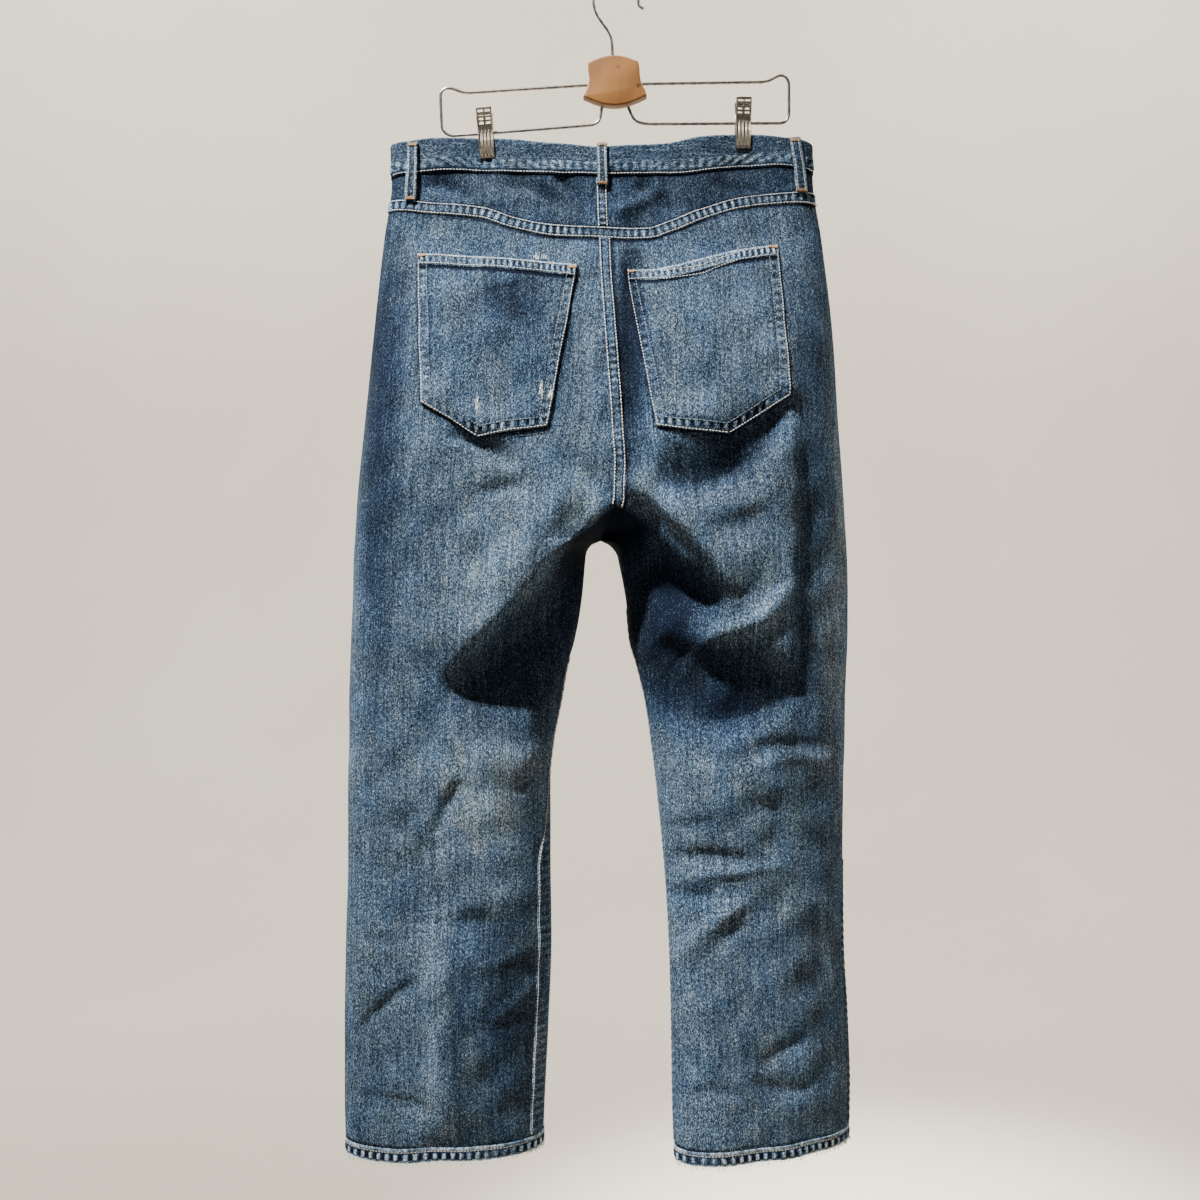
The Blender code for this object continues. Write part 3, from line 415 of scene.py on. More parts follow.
# An area's row is (x, z, reach_x, reach_z, amount): paler for a positive amount, darker for a
# negative.
# A few areas are the wash's fading; most are painted shade and painted light, for shadows and lit
# patches.
PAINTED_LIGHT_AND_WASH_AREAS = {
    BACK: (
        (-120, -360, 80, 80, -0.07), (-120, -590, 80, 50, 0.04), (-105, -520, 70, 36, 0.09),
        (60, -450, 90, 90, 0.02), (-130, -830, 60, 70, 0.18), (-240, -440, 22, 230, -0.31),
        (-264, -520, 10, 200, 0.04), (210, -420, 20, 180, -0.06), (184, -580, 9, 190, -0.06),
        (220, -580, 18, 240, 0.20), (-42, -590, 16, 36, -0.25), (92, -216, 90, 30, -0.09),
        (16, -380, 10, 130, -0.28), (40, -664, 36, 52, -0.24), (58, -622, 30, 40, -0.20),
        (84, -738, 60, 26, -0.16), (128, -676, 50, 24, 0.07), (-34, -370, 13, 80, 0.09),
        (110, -696, 64, 46, -0.12), (-70, -670, 44, 60, -0.08), (-98, -336, 24, 22, -0.17),
        (104, -490, 60, 26, -0.14), (-118, -1060, 42, 130, -0.20), (-157, -1050, 9, 110, -0.12),
        (130, -1000, 120, 200, 0.02),
    ),
    FRONT: (
        (-150, -640, 70, 160, 0.12), (120, -640, 70, 160, 0.12),
    ),
}
PLAIN_TONE, FOLD_WEAR_AND_SHADE, MOST_FOLD = 0.5, 0.011, 9
UNDERSIDE_SHADE, UNDERSIDE_DEEP, UNDERSIDE_WIDE = 0.55, 22, 42
SEAM_SHADE, POCKET_SHADE_REACH = 0.42, 1.5
# A shade beside a seam is (place, reach, share), its place across the seam from its middle.
YOKE_SHADES = ((7.4, 1.5, 1.0), (-7.0, 1.2, 0.5))
MIDDLE_SHADES = ((8.2, 1.7, 1.0), (-6.2, 1.2, 0.4))
POCKETS = {
    "left": {
        "top": ((-198, -287), (-145, -291), (-92, -295), (-39, -299)),
        "bottom": ((-190, -440), (-135, -473), (-67, -463)),
    },
    "right": {
        "top": ((10, -301), (36, -305), (63, -300), (118, -285), (161, -278)),
        "bottom": ((39, -463), (109, -470), (169, -432)),
    },
}


def fade_and_shade(face, x, z):
    """How pale the cloth is painted: 0 new and dark, 0.5 plain, 1 white; the wash's fading, and
    painted shade and light.
    """
    tone = np.full(np.shape(x), PLAIN_TONE)
    for *area, amount in PAINTED_LIGHT_AND_WASH_AREAS[face]:
        tone += amount * patch_at(x, z, *area)
    # Painted shade under the seat's lip, over the crotch.
    if face == BACK:
        gap = x - RISE["mid_x"](np.maximum(z, CROTCH_Z))
        fall = np.where(gap < 0, -LIP_FALL["left"], LIP_FALL["right"]) * gap
        below = np.minimum(z - CROTCH_Z, 0)
        under = eased(4 - 4 * lip_share(fall, z - CROTCH_Z))
        nearness = np.exp(-((below / UNDERSIDE_DEEP) ** 2) - (gap / UNDERSIDE_WIDE) ** 4)
        tone -= UNDERSIDE_SHADE * under * nearness
    # Fold ridges are worn paler, and fold hollows are painted darker as their shade.
    return tone + FOLD_WEAR_AND_SHADE * np.clip(fold_height(face, x, z), -MOST_FOLD, MOST_FOLD)


def gap_to(line, x, z):
    """How far places lie from a line of corners."""
    corners = np.array(line, float)
    gaps = []
    for corner, step in zip(corners, np.diff(corners, axis=0)):
        from_x, from_z = x - corner[0], z - corner[1]
        t = np.clip((from_x * step[0] + from_z * step[1]) / (step @ step), 0, 1)
        gaps.append(np.hypot(from_x - t * step[0], from_z - t * step[1]))
    return np.min(gaps, axis=0)


def beside_seams(x, z):
    """Darkening beside the yoke seam, the middle one and the pockets: partly dye kept, partly
    painted shadow.
    """
    below, from_middle = YOKE_SEAM(x) - z, x - RISE["mid_x"](z)
    yoke = sum(share * hump(below - at, reach) for at, reach, share in YOKE_SHADES)
    middle = sum(share * hump(from_middle - at, reach) for at, reach, share in MIDDLE_SHADES)
    outlines = [(patch["top"][0], *patch["bottom"], patch["top"][-1]) for patch in POCKETS.values()]
    around = sum(hump(gap_to(outline, x, z), POCKET_SHADE_REACH) for outline in outlines)
    return -SEAM_SHADE * (yoke + middle * (below > 0) * (z > CROTCH_Z) + around)


def roping(run, pitch=7.5, seed=0):
    """The light and dark twists of a shrunk seam, from -1 to 1 along it."""
    wander = 0.9 * np.sin(run / 31 + seed) + 0.7 * np.sin(run / 13 + 2 * seed)
    depth = 0.62 + 0.38 * np.sin(run / 19 + 5 * seed) * np.sin(run / 47 + seed)
    return depth * np.clip(1.3 * np.sin(math.tau * run / pitch + wander + seed), -1, 1)


def mesh_of(name, bm):
    """The mesh that a bmesh has shaped, shaded smoothly."""
    mesh = bpy.data.meshes.new(name)
    bm.to_mesh(mesh)
    bm.free()
    mesh.shade_smooth()
    return mesh


def shown(name, data):
    """An object in the scene that shows a mesh, a light or the camera's lens."""
    item = bpy.data.objects.new(name, data)
    bpy.context.scene.collection.objects.link(item)
    return item


def fixed(item, slot, *nodes):
    """Fixes a piece to the body, and hides the solids that it stands for; its slot is not used."""
    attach(item, "root")
    if nodes:
        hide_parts(*nodes)
    return item


def walled(item, wall, inside=0):
    """Gives a shell its thickness, inwards from its faces."""
    solid = item.modifiers.new("wall", "SOLIDIFY")
    solid.thickness, solid.offset, solid.material_offset = wall * MM, -1.0, inside


def woven(name, points, uv, worn, closed):
    """A grid of faces moved onto its points, with its flat cut and its tone of wear and painted
    shade.
    """
    rows, columns = points.shape[:2]
    bm = bmesh.new()
    bmesh.ops.create_grid(bm, x_segments=columns - 1, y_segments=rows - 1, size=0.5)
    mesh = mesh_of(name, bm)
    mesh.vertices.foreach_set("co", (points * MM).reshape(-1).astype(np.float32))
    corner = np.empty(len(mesh.loops), np.int32)
    mesh.loops.foreach_get("vertex_index", corner)
    layer = mesh.uv_layers.new(name="UVMap")
    layer.data.foreach_set("uv", (uv.reshape(-1, 2)[corner] * MM).reshape(-1).astype(np.float32))
    shade = mesh.attributes.new("worn", "FLOAT", "POINT")
    shade.data.foreach_set("value", np.asarray(worn, float).reshape(-1).astype(np.float32))
    if closed:
        bm = bmesh.new()
        bm.from_mesh(mesh)
        bmesh.ops.remove_doubles(bm, verts=bm.verts, dist=TINY)
        bm.to_mesh(mesh)
        bm.free()
    return shown(name, mesh)


class Paint:
    """One material being mixed: a socket of it, which takes Python's arithmetic."""

    def __init__(self, tree, socket=None):
        self.tree, self.socket = tree, socket

    def node(self, kind, settings=None, sockets=None, out=0):
        made = self.tree.nodes.new(kind)
        for key, value in (settings or {}).items():
            if key == "stops":
                stops = made.color_ramp.elements
                while len(stops) < len(value):
                    stops.new(0.5)
                for stop, (place, colour) in zip(stops, value):
                    stop.position, stop.color = place, (*colour, 1)
            else:
                setattr(made, key, value)
        for key, value in (sockets or {}).items():
            if isinstance(value, Paint):
                self.tree.links.new(value.socket, made.inputs[key])
            else:
                made.inputs[key].default_value = value
        return Paint(self.tree, made.outputs[out])

    def maths(self, operation, a, b):
        return self.node("ShaderNodeMath", {"operation": operation}, {0: a, 1: b})

    def __add__(self, other):
        return self.maths("ADD", self, other)

    def __sub__(self, other):
        return self.maths("SUBTRACT", self, other)

    def __rsub__(self, other):
        return self.maths("SUBTRACT", other, self)

    def __mul__(self, other):
        return self.maths("MULTIPLY", self, other)

    __radd__, __rmul__ = __add__, __mul__


def new_paint(name, roughness, metallic=0.0, specular=0.5):
    """A material, its shader, and the Paint that its nodes are mixed with."""
    material = bpy.data.materials.new(name)
    material.use_nodes = True
    shader = material.node_tree.nodes["Principled BSDF"]
    shader.inputs["Roughness"].default_value = roughness
    shader.inputs["Metallic"].default_value = metallic
    shader.inputs["Specular IOR Level"].default_value = specular
    return material, shader, Paint(material.node_tree)


def noise(paint, where, scale, detail):
    return paint.node("ShaderNodeTexNoise", {}, {"Vector": where, "Scale": scale, "Detail": detail})


def ramp(paint, value, *stops):
    """The colour that a value picks among stops, each a place from 0 to 1 and a colour."""
    return paint.node("ShaderNodeValToRGB", {"stops": stops}, {"Fac": value})


def coat(paint, shader, colour, height, strength, distance):
    """Gives a shader its mixed colour, and the bumps of a mixed height."""
    bump = paint.node("ShaderNodeBump", {}, {
        "Height": height, "Strength": strength, "Distance": distance})
    paint.tree.links.new(colour.socket, shader.inputs["Base Color"])
    paint.tree.links.new(bump.socket, shader.inputs["Normal"])


DYE = (
    (0.0, (0.002, 0.004, 0.011)), (0.26, (0.008, 0.015, 0.031)), (0.48, (0.036, 0.062, 0.097)),
    (0.70, (0.120, 0.174, 0.238)), (1.0, (0.50, 0.57, 0.62)),
)
TINT = ((0.34, (0.92, 0.99, 1.07)), (0.66, (1.06, 1.01, 0.94)))


def mix_denim(name, lift=0.0, hue=(1.0, 1.0, 1.0), contrast=1.22):
    """Indigo warp over pale weft, worn to a speckle that follows the cloth's own grain."""
    material, shader, paint = new_paint(name, 0.9, specular=0.08)
    cut = paint.node("ShaderNodeUVMap", {"uv_map": "UVMap"})
    # The cloth's tone of wear and painted shade, read from its mesh.
    worn = paint.node("ShaderNodeAttribute", {"attribute_name": "worn"}, out="Fac")

    def yarn(wide, tall, detail=2.0, turn=0.0):
        laid = paint.node("ShaderNodeMapping", {}, {
            "Vector": cut, "Rotation": (0, 0, turn),
            "Scale": (1 / (wide * MM), 1 / (tall * MM), 1)})
        return paint.node("ShaderNodeTexNoise", {"noise_dimensions": "2D"}, {
            "Vector": laid, "Scale": 1.0, "Detail": detail, "Roughness": 0.6}) - 0.5

    def flecks(wide, tall):
        cell = paint.node("ShaderNodeVectorMath", {"operation": "SNAP"}, {
            0: cut, 1: (wide * MM, tall * MM, 1.0)})
        dots = paint.node("ShaderNodeTexWhiteNoise", {"noise_dimensions": "2D"}, {"Vector": cell})
        return dots - 0.5

    speckle = (flecks(0.8, 1.2) * 0.34 + flecks(1.2, 0.9) * 0.15
               + yarn(0.9, 2.2, 1.0) * 0.44 + yarn(0.8, 4.5, 1.0, 0.6) * 0.28)
    streaks = (yarn(2.2, 70.0, 1.0) * 0.30 + yarn(14.0, 30.0, 4.0) * 0.20
               + yarn(70.0, 110.0, 2.0) * 0.20)
    tone = worn + speckle * contrast + streaks + lift
    dyed = ramp(paint, tone, *[(place, np.multiply(colour, hue)) for place, colour in DYE])
    tint = ramp(paint, yarn(34.0, 60.0, 2.0) + 0.5, *TINT)
    colour = paint.node("ShaderNodeVectorMath", {"operation": "MULTIPLY"}, {0: dyed, 1: tint})
    coat(paint, shader, colour, speckle, 0.55, 0.0009)
    return material


denim = mix_denim("washed_denim", lift=-0.05)
denim_inside = mix_denim("denim_inside", lift=0.2, hue=(1.0, 0.97, 0.92), contrast=0.8)


def tailored(name, face, points, uv, worn, slot, *nodes, wall=WALL, closed=False):
    """A finished piece of cloth with a wall behind. A third along it, it faces out of face."""
    item = woven(name, points, uv, worn, closed)
    rows, columns = points.shape[:2]
    polygon = item.data.polygons[(rows // 2) * (columns - 1) + columns // 3]
    if polygon.normal.y * face < 0:
        item.data.flip_normals()
    walled(item, wall, 1)
    item.data.materials.append(denim)
    item.data.materials.append(denim_inside)
    return fixed(item, slot, *nodes)


BACK_COLUMNS, BACK_TOP_ROWS, LOWEST_ROW = 96, 24, -1175
BACK_LEVELS = np.concatenate((
    np.arange(-305, -540, -2.7), np.arange(-540, -590, -1.3), np.arange(-590, LOWEST_ROW, -2.75)))
EDGE_REACH, EDGE_PITCH, EDGE_PUCKER, EDGE_SHADE = 9.0, 9.0, 0.20, 0.05
GRAIN_LINE = 110.0


def panel_grid(side, face, us, zs):
    """A leg panel's points, flat cut, tone of wear and painted shade, and how far down each point
    is.
    """
    points = on_cloth(side, face, us, zs)
    across = run_along(points, 1)
    whole = across[:, -1:]
    from_out = INWARDS[side] * (points[..., 0] - HALF[side]["out_x"](points[..., 2]))
    straight = [np.interp(GRAIN_LINE, row, run) for row, run in zip(from_out, across)]
    uv = np.stack((INWARDS[side] * (across - np.array(straight)[:, None]), points[..., 2]), -1)
    worn = fade_and_shade(face, points[..., 0], points[..., 2])
    down = run_along(points, 0)
    for gap, seed in ((across, 1.0), (whole - across, 2.0)):
        worn += hump(gap, EDGE_REACH) * (EDGE_PUCKER * roping(down, EDGE_PITCH, seed) - EDGE_SHADE)
    return points, uv, worn, down


for side in INWARDS:
    us = np.linspace(0, 1, BACK_COLUMNS + 1)
    tops = level_of(side, BACK, us, YOKE_SEAM) - SEAM_GAP / 2
    share = np.linspace(0, 1, BACK_TOP_ROWS, endpoint=False)[:, None]
    first = tops + (BACK_LEVELS[0] - tops) * share
    later = np.repeat(BACK_LEVELS[:, None], len(us), axis=1)
    last = np.full((1, len(us)), HEM_TOP + SEAM_GAP / 2)
    zs = np.concatenate((first, later, last))
    grid = np.broadcast_to(us, zs.shape)
    points, uv, worn, down = panel_grid(side, BACK, grid, zs)
    worn += 0.14 * roping(points[..., 0], 7.0, 3.0) * hump(down, 11)
    worn += beside_seams(points[..., 0], points[..., 2])
    tailored(
        f"back_panel_cloth_{side}", BACK, points, uv, worn, "denim", f"back_panel_{side}")

# --------------------------------------------------------------- front panels
# The legs' fronts, turned away from the camera: one cut each from the waistband to the
# hem, scooped at the top for the hip pocket, with a facing sewn behind the scoop.
WAIST_ROWS = (
    (-232, -168, -203), (-206, -165, -201), (-175, -162, -198), (-133, -161, -197),
    (-75, -167, -201), (-14, -171, -202), (50, -168, -202), (88, -161, -199),
    (130, -157, -192), (180, -163, -194), (206, -169, -199),
)
WAIST_TOP, WAIST_SEAM = line_through(WAIST_ROWS, 1), line_through(WAIST_ROWS, 2)
SCOOP_WIDTH, SCOOP_BOTTOM = 74.0, -327.0
# The scoop's edge is worn pale; the facing behind it is painted darker, as shade under that edge.
SCOOP_PALE, FACING_SHADED_TONE = 0.24, 0.33
FACING_TUCK, FACING_SUNK, FACING_WALL, FACING_END = 9.0, 3.9, 1.2, -331.0
FRONT_TOP, FRONT_PITCH, FRONT_COLUMNS = -206, 4.0, 60
FACING_PITCH, FACING_COLUMNS = 5.0, 24
front_cloth, facing_cloth = {}, {}


def scoop_start(side, z):
    """How far across the front panel starts, beside the hip pocket's opening."""
    drop = WAIST_SEAM(HALF[side]["out_x"](z) + INWARDS[side] * SCOOP_WIDTH) - z
    share = np.clip(drop / (WAIST_SEAM(0) - SCOOP_BOTTOM), 0, 1)
    return SCOOP_WIDTH * np.sqrt(1 - share * share)


def u_from_out(side, levels, reach):
    """The u that lies a reach inwards of the outseam, at each level."""
    return u_reaching(side, HALF[side]["out_x"](levels) + INWARDS[side] * reach, levels)


def rows_down(side, us, levels):
    """The heights of level rows, the first of which follows the waist seam."""
    zs = np.repeat(levels[:, None], us.shape[1], axis=1)
    zs[0] = level_of(side, FRONT, us[0], WAIST_SEAM) - SEAM_GAP
    return zs


for side in INWARDS:
    levels = np.concatenate((
        np.arange(FRONT_TOP, SCOOP_BOTTOM + 2 * FRONT_PITCH, -FRONT_PITCH),
        np.linspace(SCOOP_BOTTOM + 2 * FRONT_PITCH, SCOOP_BOTTOM, 9),
        np.arange(SCOOP_BOTTOM - FRONT_PITCH, LOWEST_ROW, -FRONT_PITCH), [HEM_TOP + SEAM_GAP / 2]))
    edge_u = u_from_out(side, levels, scoop_start(side, levels))
    edge_u = np.where(levels > SCOOP_BOTTOM, edge_u, 0.0)[:, None]
    us = edge_u + (1 - edge_u) * np.linspace(0, 1, FRONT_COLUMNS + 1)
    zs = rows_down(side, us, levels)
    points, uv, worn, _ = panel_grid(side, FRONT, us, zs)
    worn[:, 0] += SCOOP_PALE * (zs[:, 0] > SCOOP_BOTTOM)
    front_cloth[side] = tailored(
        f"front_panel_cloth_{side}", FRONT, points, uv, worn, "denim", f"front_panel_{side}")

    levels = np.concatenate((
        np.arange(FRONT_TOP, SCOOP_BOTTOM, -FACING_PITCH), [SCOOP_BOTTOM, FACING_END]))
    edge_u = u_from_out(side, levels, scoop_start(side, levels) + FACING_TUCK)[:, None]
    us = edge_u * np.linspace(0, 1, FACING_COLUMNS + 1)
    zs = rows_down(side, us, levels)
    points = on_cloth(side, FRONT, us, zs, -FACING_SUNK)
    uv = np.stack((run_along(points, 1), points[..., 2]), -1)
    facing_cloth[side] = tailored(
        f"hip_pocket_facing_cloth_{side}", FRONT, points, uv, np.full(us.shape, FACING_SHADED_TONE),
        "denim", f"hip_pocket_facing_{side}", wall=FACING_WALL)

# ---------------------------------------------------------------------- yokes
# Two shaped pieces across the top of the seat, under the waistband. They are painted a little
# darker than the seat as shade, and darker still just under the waistband as its shadow.
YOKE_ROWS_DOWN = 30
YOKE_PAINTED_SHADE, YOKE_TOP_SHADE, YOKE_TOP_REACH = 0.11, 0.22, 2.2
for side in INWARDS:
    us = np.linspace(0, 1, BACK_COLUMNS + 1)
    top = level_of(side, BACK, us, WAIST_SEAM) - SEAM_GAP / 2
    bottom = level_of(side, BACK, us, YOKE_SEAM) + SEAM_GAP / 2
    t = np.linspace(0, 1, YOKE_ROWS_DOWN + 1)[:, None]
    zs = top + (bottom - top) * t
    grid = np.broadcast_to(us, zs.shape)
    points = on_cloth(side, BACK, grid, zs)
    uv = np.stack((run_along(points, 1), points[..., 2]), -1)
    worn = fade_and_shade(BACK, points[..., 0], points[..., 2]) - YOKE_PAINTED_SHADE
    worn += beside_seams(points[..., 0], points[..., 2])
    worn -= YOKE_TOP_SHADE * hump(WAIST_SEAM(points[..., 0]) - points[..., 2], YOKE_TOP_REACH)
    tailored(
        f"yoke_cloth_{side}", BACK, points, uv, worn, "denim", f"yoke_{side}")

# ------------------------------------------------------------------ waistband
# One long strip folded over along its top edge and sewn right round the waist, closed
# with a button at the front. The turned-in seam under its lower edge shows as a
# puckered ridge, worn pale, just over a single row of stitches.
WAISTBAND_OUT, WAISTBAND_IN, OVERLAP_LENGTH, OVERLAP_LIFT = 0.8, 2.0, 30.0, 3.2
RIDGE_LOW, RIDGE_HIGH, BAND_EDGE = 3.5, 15.0, 1.6
BAND_ROWS, BAND_COLUMNS, LAP_COLUMNS = 26, 130, 16
BAND_MIDDLE, LAP_START, LAP_RISES_AT, LAP_RISE = -190, 0.998, 0.93, 0.04


def bump_between(value, low, high, soft=1.5):
    return eased((value - low) / soft) * eased((high - value) / soft)


walk = np.linspace(0, 1, BAND_COLUMNS + 1)
lap_x = np.array([RISE["mid_x"](BAND_MIDDLE) + OVERLAP_LENGTH])
lap_u = u_reaching("right", lap_x, np.array([float(BAND_MIDDLE)]))[0]
lap = LAP_START - (LAP_START - lap_u) * np.linspace(0, 1, LAP_COLUMNS)
lap_lift = OVERLAP_LIFT * eased((walk[1:-1] - LAP_RISES_AT) / LAP_RISE)
band_runs = (
    ("right", FRONT, walk[::-1], 0 * walk),
    ("right", BACK, walk[1:], 0 * walk[1:]),
    ("left", BACK, walk[-2::-1], 0 * walk[1:]),
    ("left", FRONT, walk[1:-1], lap_lift),
    ("right", FRONT, lap, np.full(LAP_COLUMNS, OVERLAP_LIFT)),
)
runs = []
for side, face, us, lift in band_runs:
    top = level_of(side, face, us, WAIST_TOP)
    seam = level_of(side, face, us, WAIST_SEAM) + SEAM_GAP / 2
    t = np.linspace(0, 1, BAND_ROWS + 1)[:, None]
    zs = top + (seam - top) * t
    over_seam = zs - seam
    grid = np.broadcast_to(us, zs.shape)
    run = np.abs(HALF[side]["out_x"](BAND_MIDDLE) - cloth(side, face, grid, zs)[..., 0])
    rope = roping(run, 8.6, 1.3 + face) + 0.8 * roping(run + 1.6 * over_seam, 15.0, 2.6)
    ridge = bump_between(over_seam, RIDGE_LOW, RIDGE_HIGH)
    rope = np.clip(rope, -1, 0.8) * ridge
    edge = np.clip(1 - (top - zs) / BAND_EDGE, 0, 1)
    out = WAISTBAND_OUT + lift + 0.6 * rope + 0.45 * ridge - 0.8 * edge**2
    runs.append((on_cloth(side, face, grid, zs, out), over_seam, rope, edge, ridge))
points, over_seam, rope, edge, ridge = (np.concatenate(part, axis=1) for part in zip(*runs))
uv = np.stack((points[..., 2], run_along(points, 1)), -1)
worn = (0.43 + 0.21 * rope + 0.09 * ridge + 0.20 * edge
        - 0.34 * hump(over_seam - 0.5, 1.2) - 0.20 * hump(over_seam - 4.2, 1.0))
waistband = tailored("waistband_cloth", BACK, points, uv, worn, "denim_trim", "waistband",
                     wall=WAISTBAND_OUT + WAISTBAND_IN)

# ----------------------------------------------------- felled seams and sewing
# Where two panels meet, their edges are folded into each other and sewn down with two
# rows of thick off-white thread. Washing shrinks the thread and twists the cloth into
# light and dark puckers. Tan bar tacks hold what is pulled on.
THREAD_LENGTH, THREAD_PITCH, THREAD_WIDTH = 3.1, 3.3, 1.0


def mix_thread(name, colour, shaded):
    """Spun thread: two tones in soft patches, with the ridges of its twist."""
    material, shader, paint = new_paint(name, 0.7, specular=0.3)
    where = paint.node("ShaderNodeTexCoord", out="Object")
    mixed = ramp(paint, noise(paint, where, 260.0, 2.0), (0.35, shaded), (0.62, colour))
    twist = paint.node("ShaderNodeTexWave", {"wave_type": "BANDS", "bands_direction": "DIAGONAL"}, {
        "Vector": where, "Scale": 900.0, "Distortion": 1.0})
    coat(paint, shader, mixed, twist, 0.4, 0.0003)
    return material


white_thread = mix_thread("white_thread", (0.86, 0.85, 0.78), (0.52, 0.53, 0.52))
tan_thread = mix_thread("tan_thread", (0.52, 0.30, 0.13), (0.28, 0.15, 0.07))
grey_thread = mix_thread("grey_thread", (0.46, 0.41, 0.33), (0.22, 0.20, 0.18))
blue_thread = mix_thread("blue_thread", (0.30, 0.35, 0.39), (0.07, 0.10, 0.15))


def sew(name, lines, material, length=THREAD_LENGTH, pitch=THREAD_PITCH, width=THREAD_WIDTH,
        turned=False):
    """Rows of stitches, each a rounded bead of thread that lies along its row."""
    whole = bmesh.new()
    for line in lines:
        bm = bmesh.new()
        run = run_along(line, 0)
        spots = np.arange(pitch / 2, run[-1], pitch)
        at = [np.stack([np.interp(spots + shift, run, line[:, k]) for k in range(3)], -1)
              for shift in (-length / 2, 0, length / 2)]
        for behind, centre, ahead in zip(*at):
            along = Vector(ahead - behind).normalized()
            if turned:
                along = along.cross(Vector((0, 1, 0))).normalized()
            turn = along.to_track_quat("X", "Y").to_matrix().to_4x4()
            size = Matrix.Diagonal((length / 2 * MM, width / 2 * MM, width / 2 * MM, 1))
            place = Matrix.Translation(Vector(centre) * MM) @ turn @ size
            bmesh.ops.create_icosphere(bm, subdivisions=1, radius=1.0, matrix=place)
        row = mesh_of("row", bm)
        whole.from_mesh(row)
        bpy.data.meshes.remove(row)
    item = shown(name, mesh_of(name, whole))
    item.data.materials.append(material)
    return fixed(item, "denim_trim")


def spaced(path, step):
    """A line through flat points, smoothed through them and evenly spaced."""
    path = np.array(path, float)
    t = run_along(path, 0)
    fine = np.linspace(0, t[-1], max(int(t[-1] / step), 2) + 1)
    return np.stack([line_through(list(zip(t, path[:, k])), 1)(fine) for k in range(2)], -1)


def beside(path, away):
    """A flat line moved sideways, to the left as seen along it."""
    step = np.gradient(path, axis=0)
    step /= np.linalg.norm(step, axis=1, keepdims=True)
    return path + np.stack((-step[:, 1], step[:, 0]), -1) * away


FELLED_HEIGHT, FELLED_WALL, FELLED_ROWS_AT, STITCH_LIFT = 0.9, 0.7, 0.41, 0.4


def felled(name, face, path, width, seed, tone=0.5, edges=(0.3, 0.3), strength=0.3):
    """A raised felled seam over a flat path, with its puckers between its two rows."""
    offsets = np.linspace(-width / 2, width / 2, 19)[:, None]
    lines = [beside(path, away) for away in offsets[:, 0]]
    xs, zs = np.stack([line[:, 0] for line in lines]), np.stack([line[:, 1] for line in lines])
    run = np.broadcast_to(run_along(path, 0), xs.shape)
    across = np.abs(offsets) / (width / 2)
    rope = roping(run, 7.2, seed) * (1 - across**4)
    body = rolled((1 - across) * 4)
    out = 0.12 + FELLED_HEIGHT * body + 0.5 * rope * body
    rims = np.where(offsets < 0, *edges) * hump(across - 0.93, 0.16)
    worn = tone + strength * rope + rims - 0.28 * hump(across - 0.60, 0.13)
    item = tailored(name, face, over_cloth(face, xs, zs, out), np.stack((xs, zs), -1), worn,
                    "denim_trim", wall=FELLED_WALL)
    rows = [beside(path, way * width * FELLED_ROWS_AT).T for way in (-1, 1)]
    return item, [over_cloth(face, *row, FELLED_HEIGHT + STITCH_LIFT) for row in rows]


yoke_x = np.arange(-236, 207, 1.5)
yoke_line = np.stack((yoke_x, YOKE_SEAM(yoke_x)), -1)
yoke_seam, yoke_rows = felled("yoke_seam", BACK, yoke_line, 12.0, 0.4, strength=0.38)
centre_z = np.arange(-268, -541, -1.5)
centre_line = np.stack((RISE["mid_x"](centre_z) + 1.0, centre_z), -1)
centre_seam, centre_rows = felled(
    "centre_back_seam", BACK, centre_line, 11.5, 2.0, tone=0.53, edges=(0.15, 0.42), strength=0.12)
top_z = np.arange(-204, -256, -1.5)
top_line = np.stack((RISE["mid_x"](top_z), top_z), -1)
top_seam, top_rows = felled("yoke_centre_seam", BACK, top_line, 10.0, 4.0)
yoke_stitches = sew("yoke_seam_stitches", yoke_rows, white_thread)
centre_stitches = sew("centre_seam_stitches", centre_rows + top_rows, white_thread)

BAND_ROW_UP, BAND_ROW_OUT = 2.4, WAISTBAND_OUT + 0.25
under_band = np.arange(-226, 200, 1.5)
band_stitches = sew("waistband_stitches", [
    over_cloth(face, under_band, WAIST_SEAM(under_band) + BAND_ROW_UP, BAND_ROW_OUT)
    for face in (BACK, FRONT)], white_thread)

scoop_rows = []
for side, way in INWARDS.items():
    turn = np.linspace(0.06, math.pi / 2, 40)
    scoop_z = (WAIST_SEAM(HALF[side]["out_x"](FRONT_TOP) + way * SCOOP_WIDTH)
               - (WAIST_SEAM(0) - SCOOP_BOTTOM) * np.sin(turn))
    scoop_x = HALF[side]["out_x"](scoop_z) + way * SCOOP_WIDTH * np.cos(turn)
    for away in (2.0, 8.0):
        row_x, row_z = beside(np.stack((scoop_x, scoop_z), -1), way * away).T
        scoop_rows.append(over_cloth(FRONT, row_x, row_z, 0.5))
scoop_stitches = sew("hip_pocket_stitches", scoop_rows, white_thread)


def edge_lines(side, face, zs, distances, from_out):
    """The u of lines that keep their distances from a panel's edge, row by row."""
    fine = np.linspace(0, 1, 160)
    us = np.broadcast_to(fine, (len(zs), len(fine)))
    rows = np.broadcast_to(zs[:, None], us.shape)
    across = run_along(cloth(side, face, us, rows), 1)
    if not from_out:
        across = across[:, -1:] - across
    found = np.empty(distances.shape)
    for j in range(len(zs)):
        order = np.argsort(across[j])
        found[:, j] = np.interp(distances[:, j], across[j][order], fine[order])
    return found


EDGE_SEAM_HEIGHT = 0.8


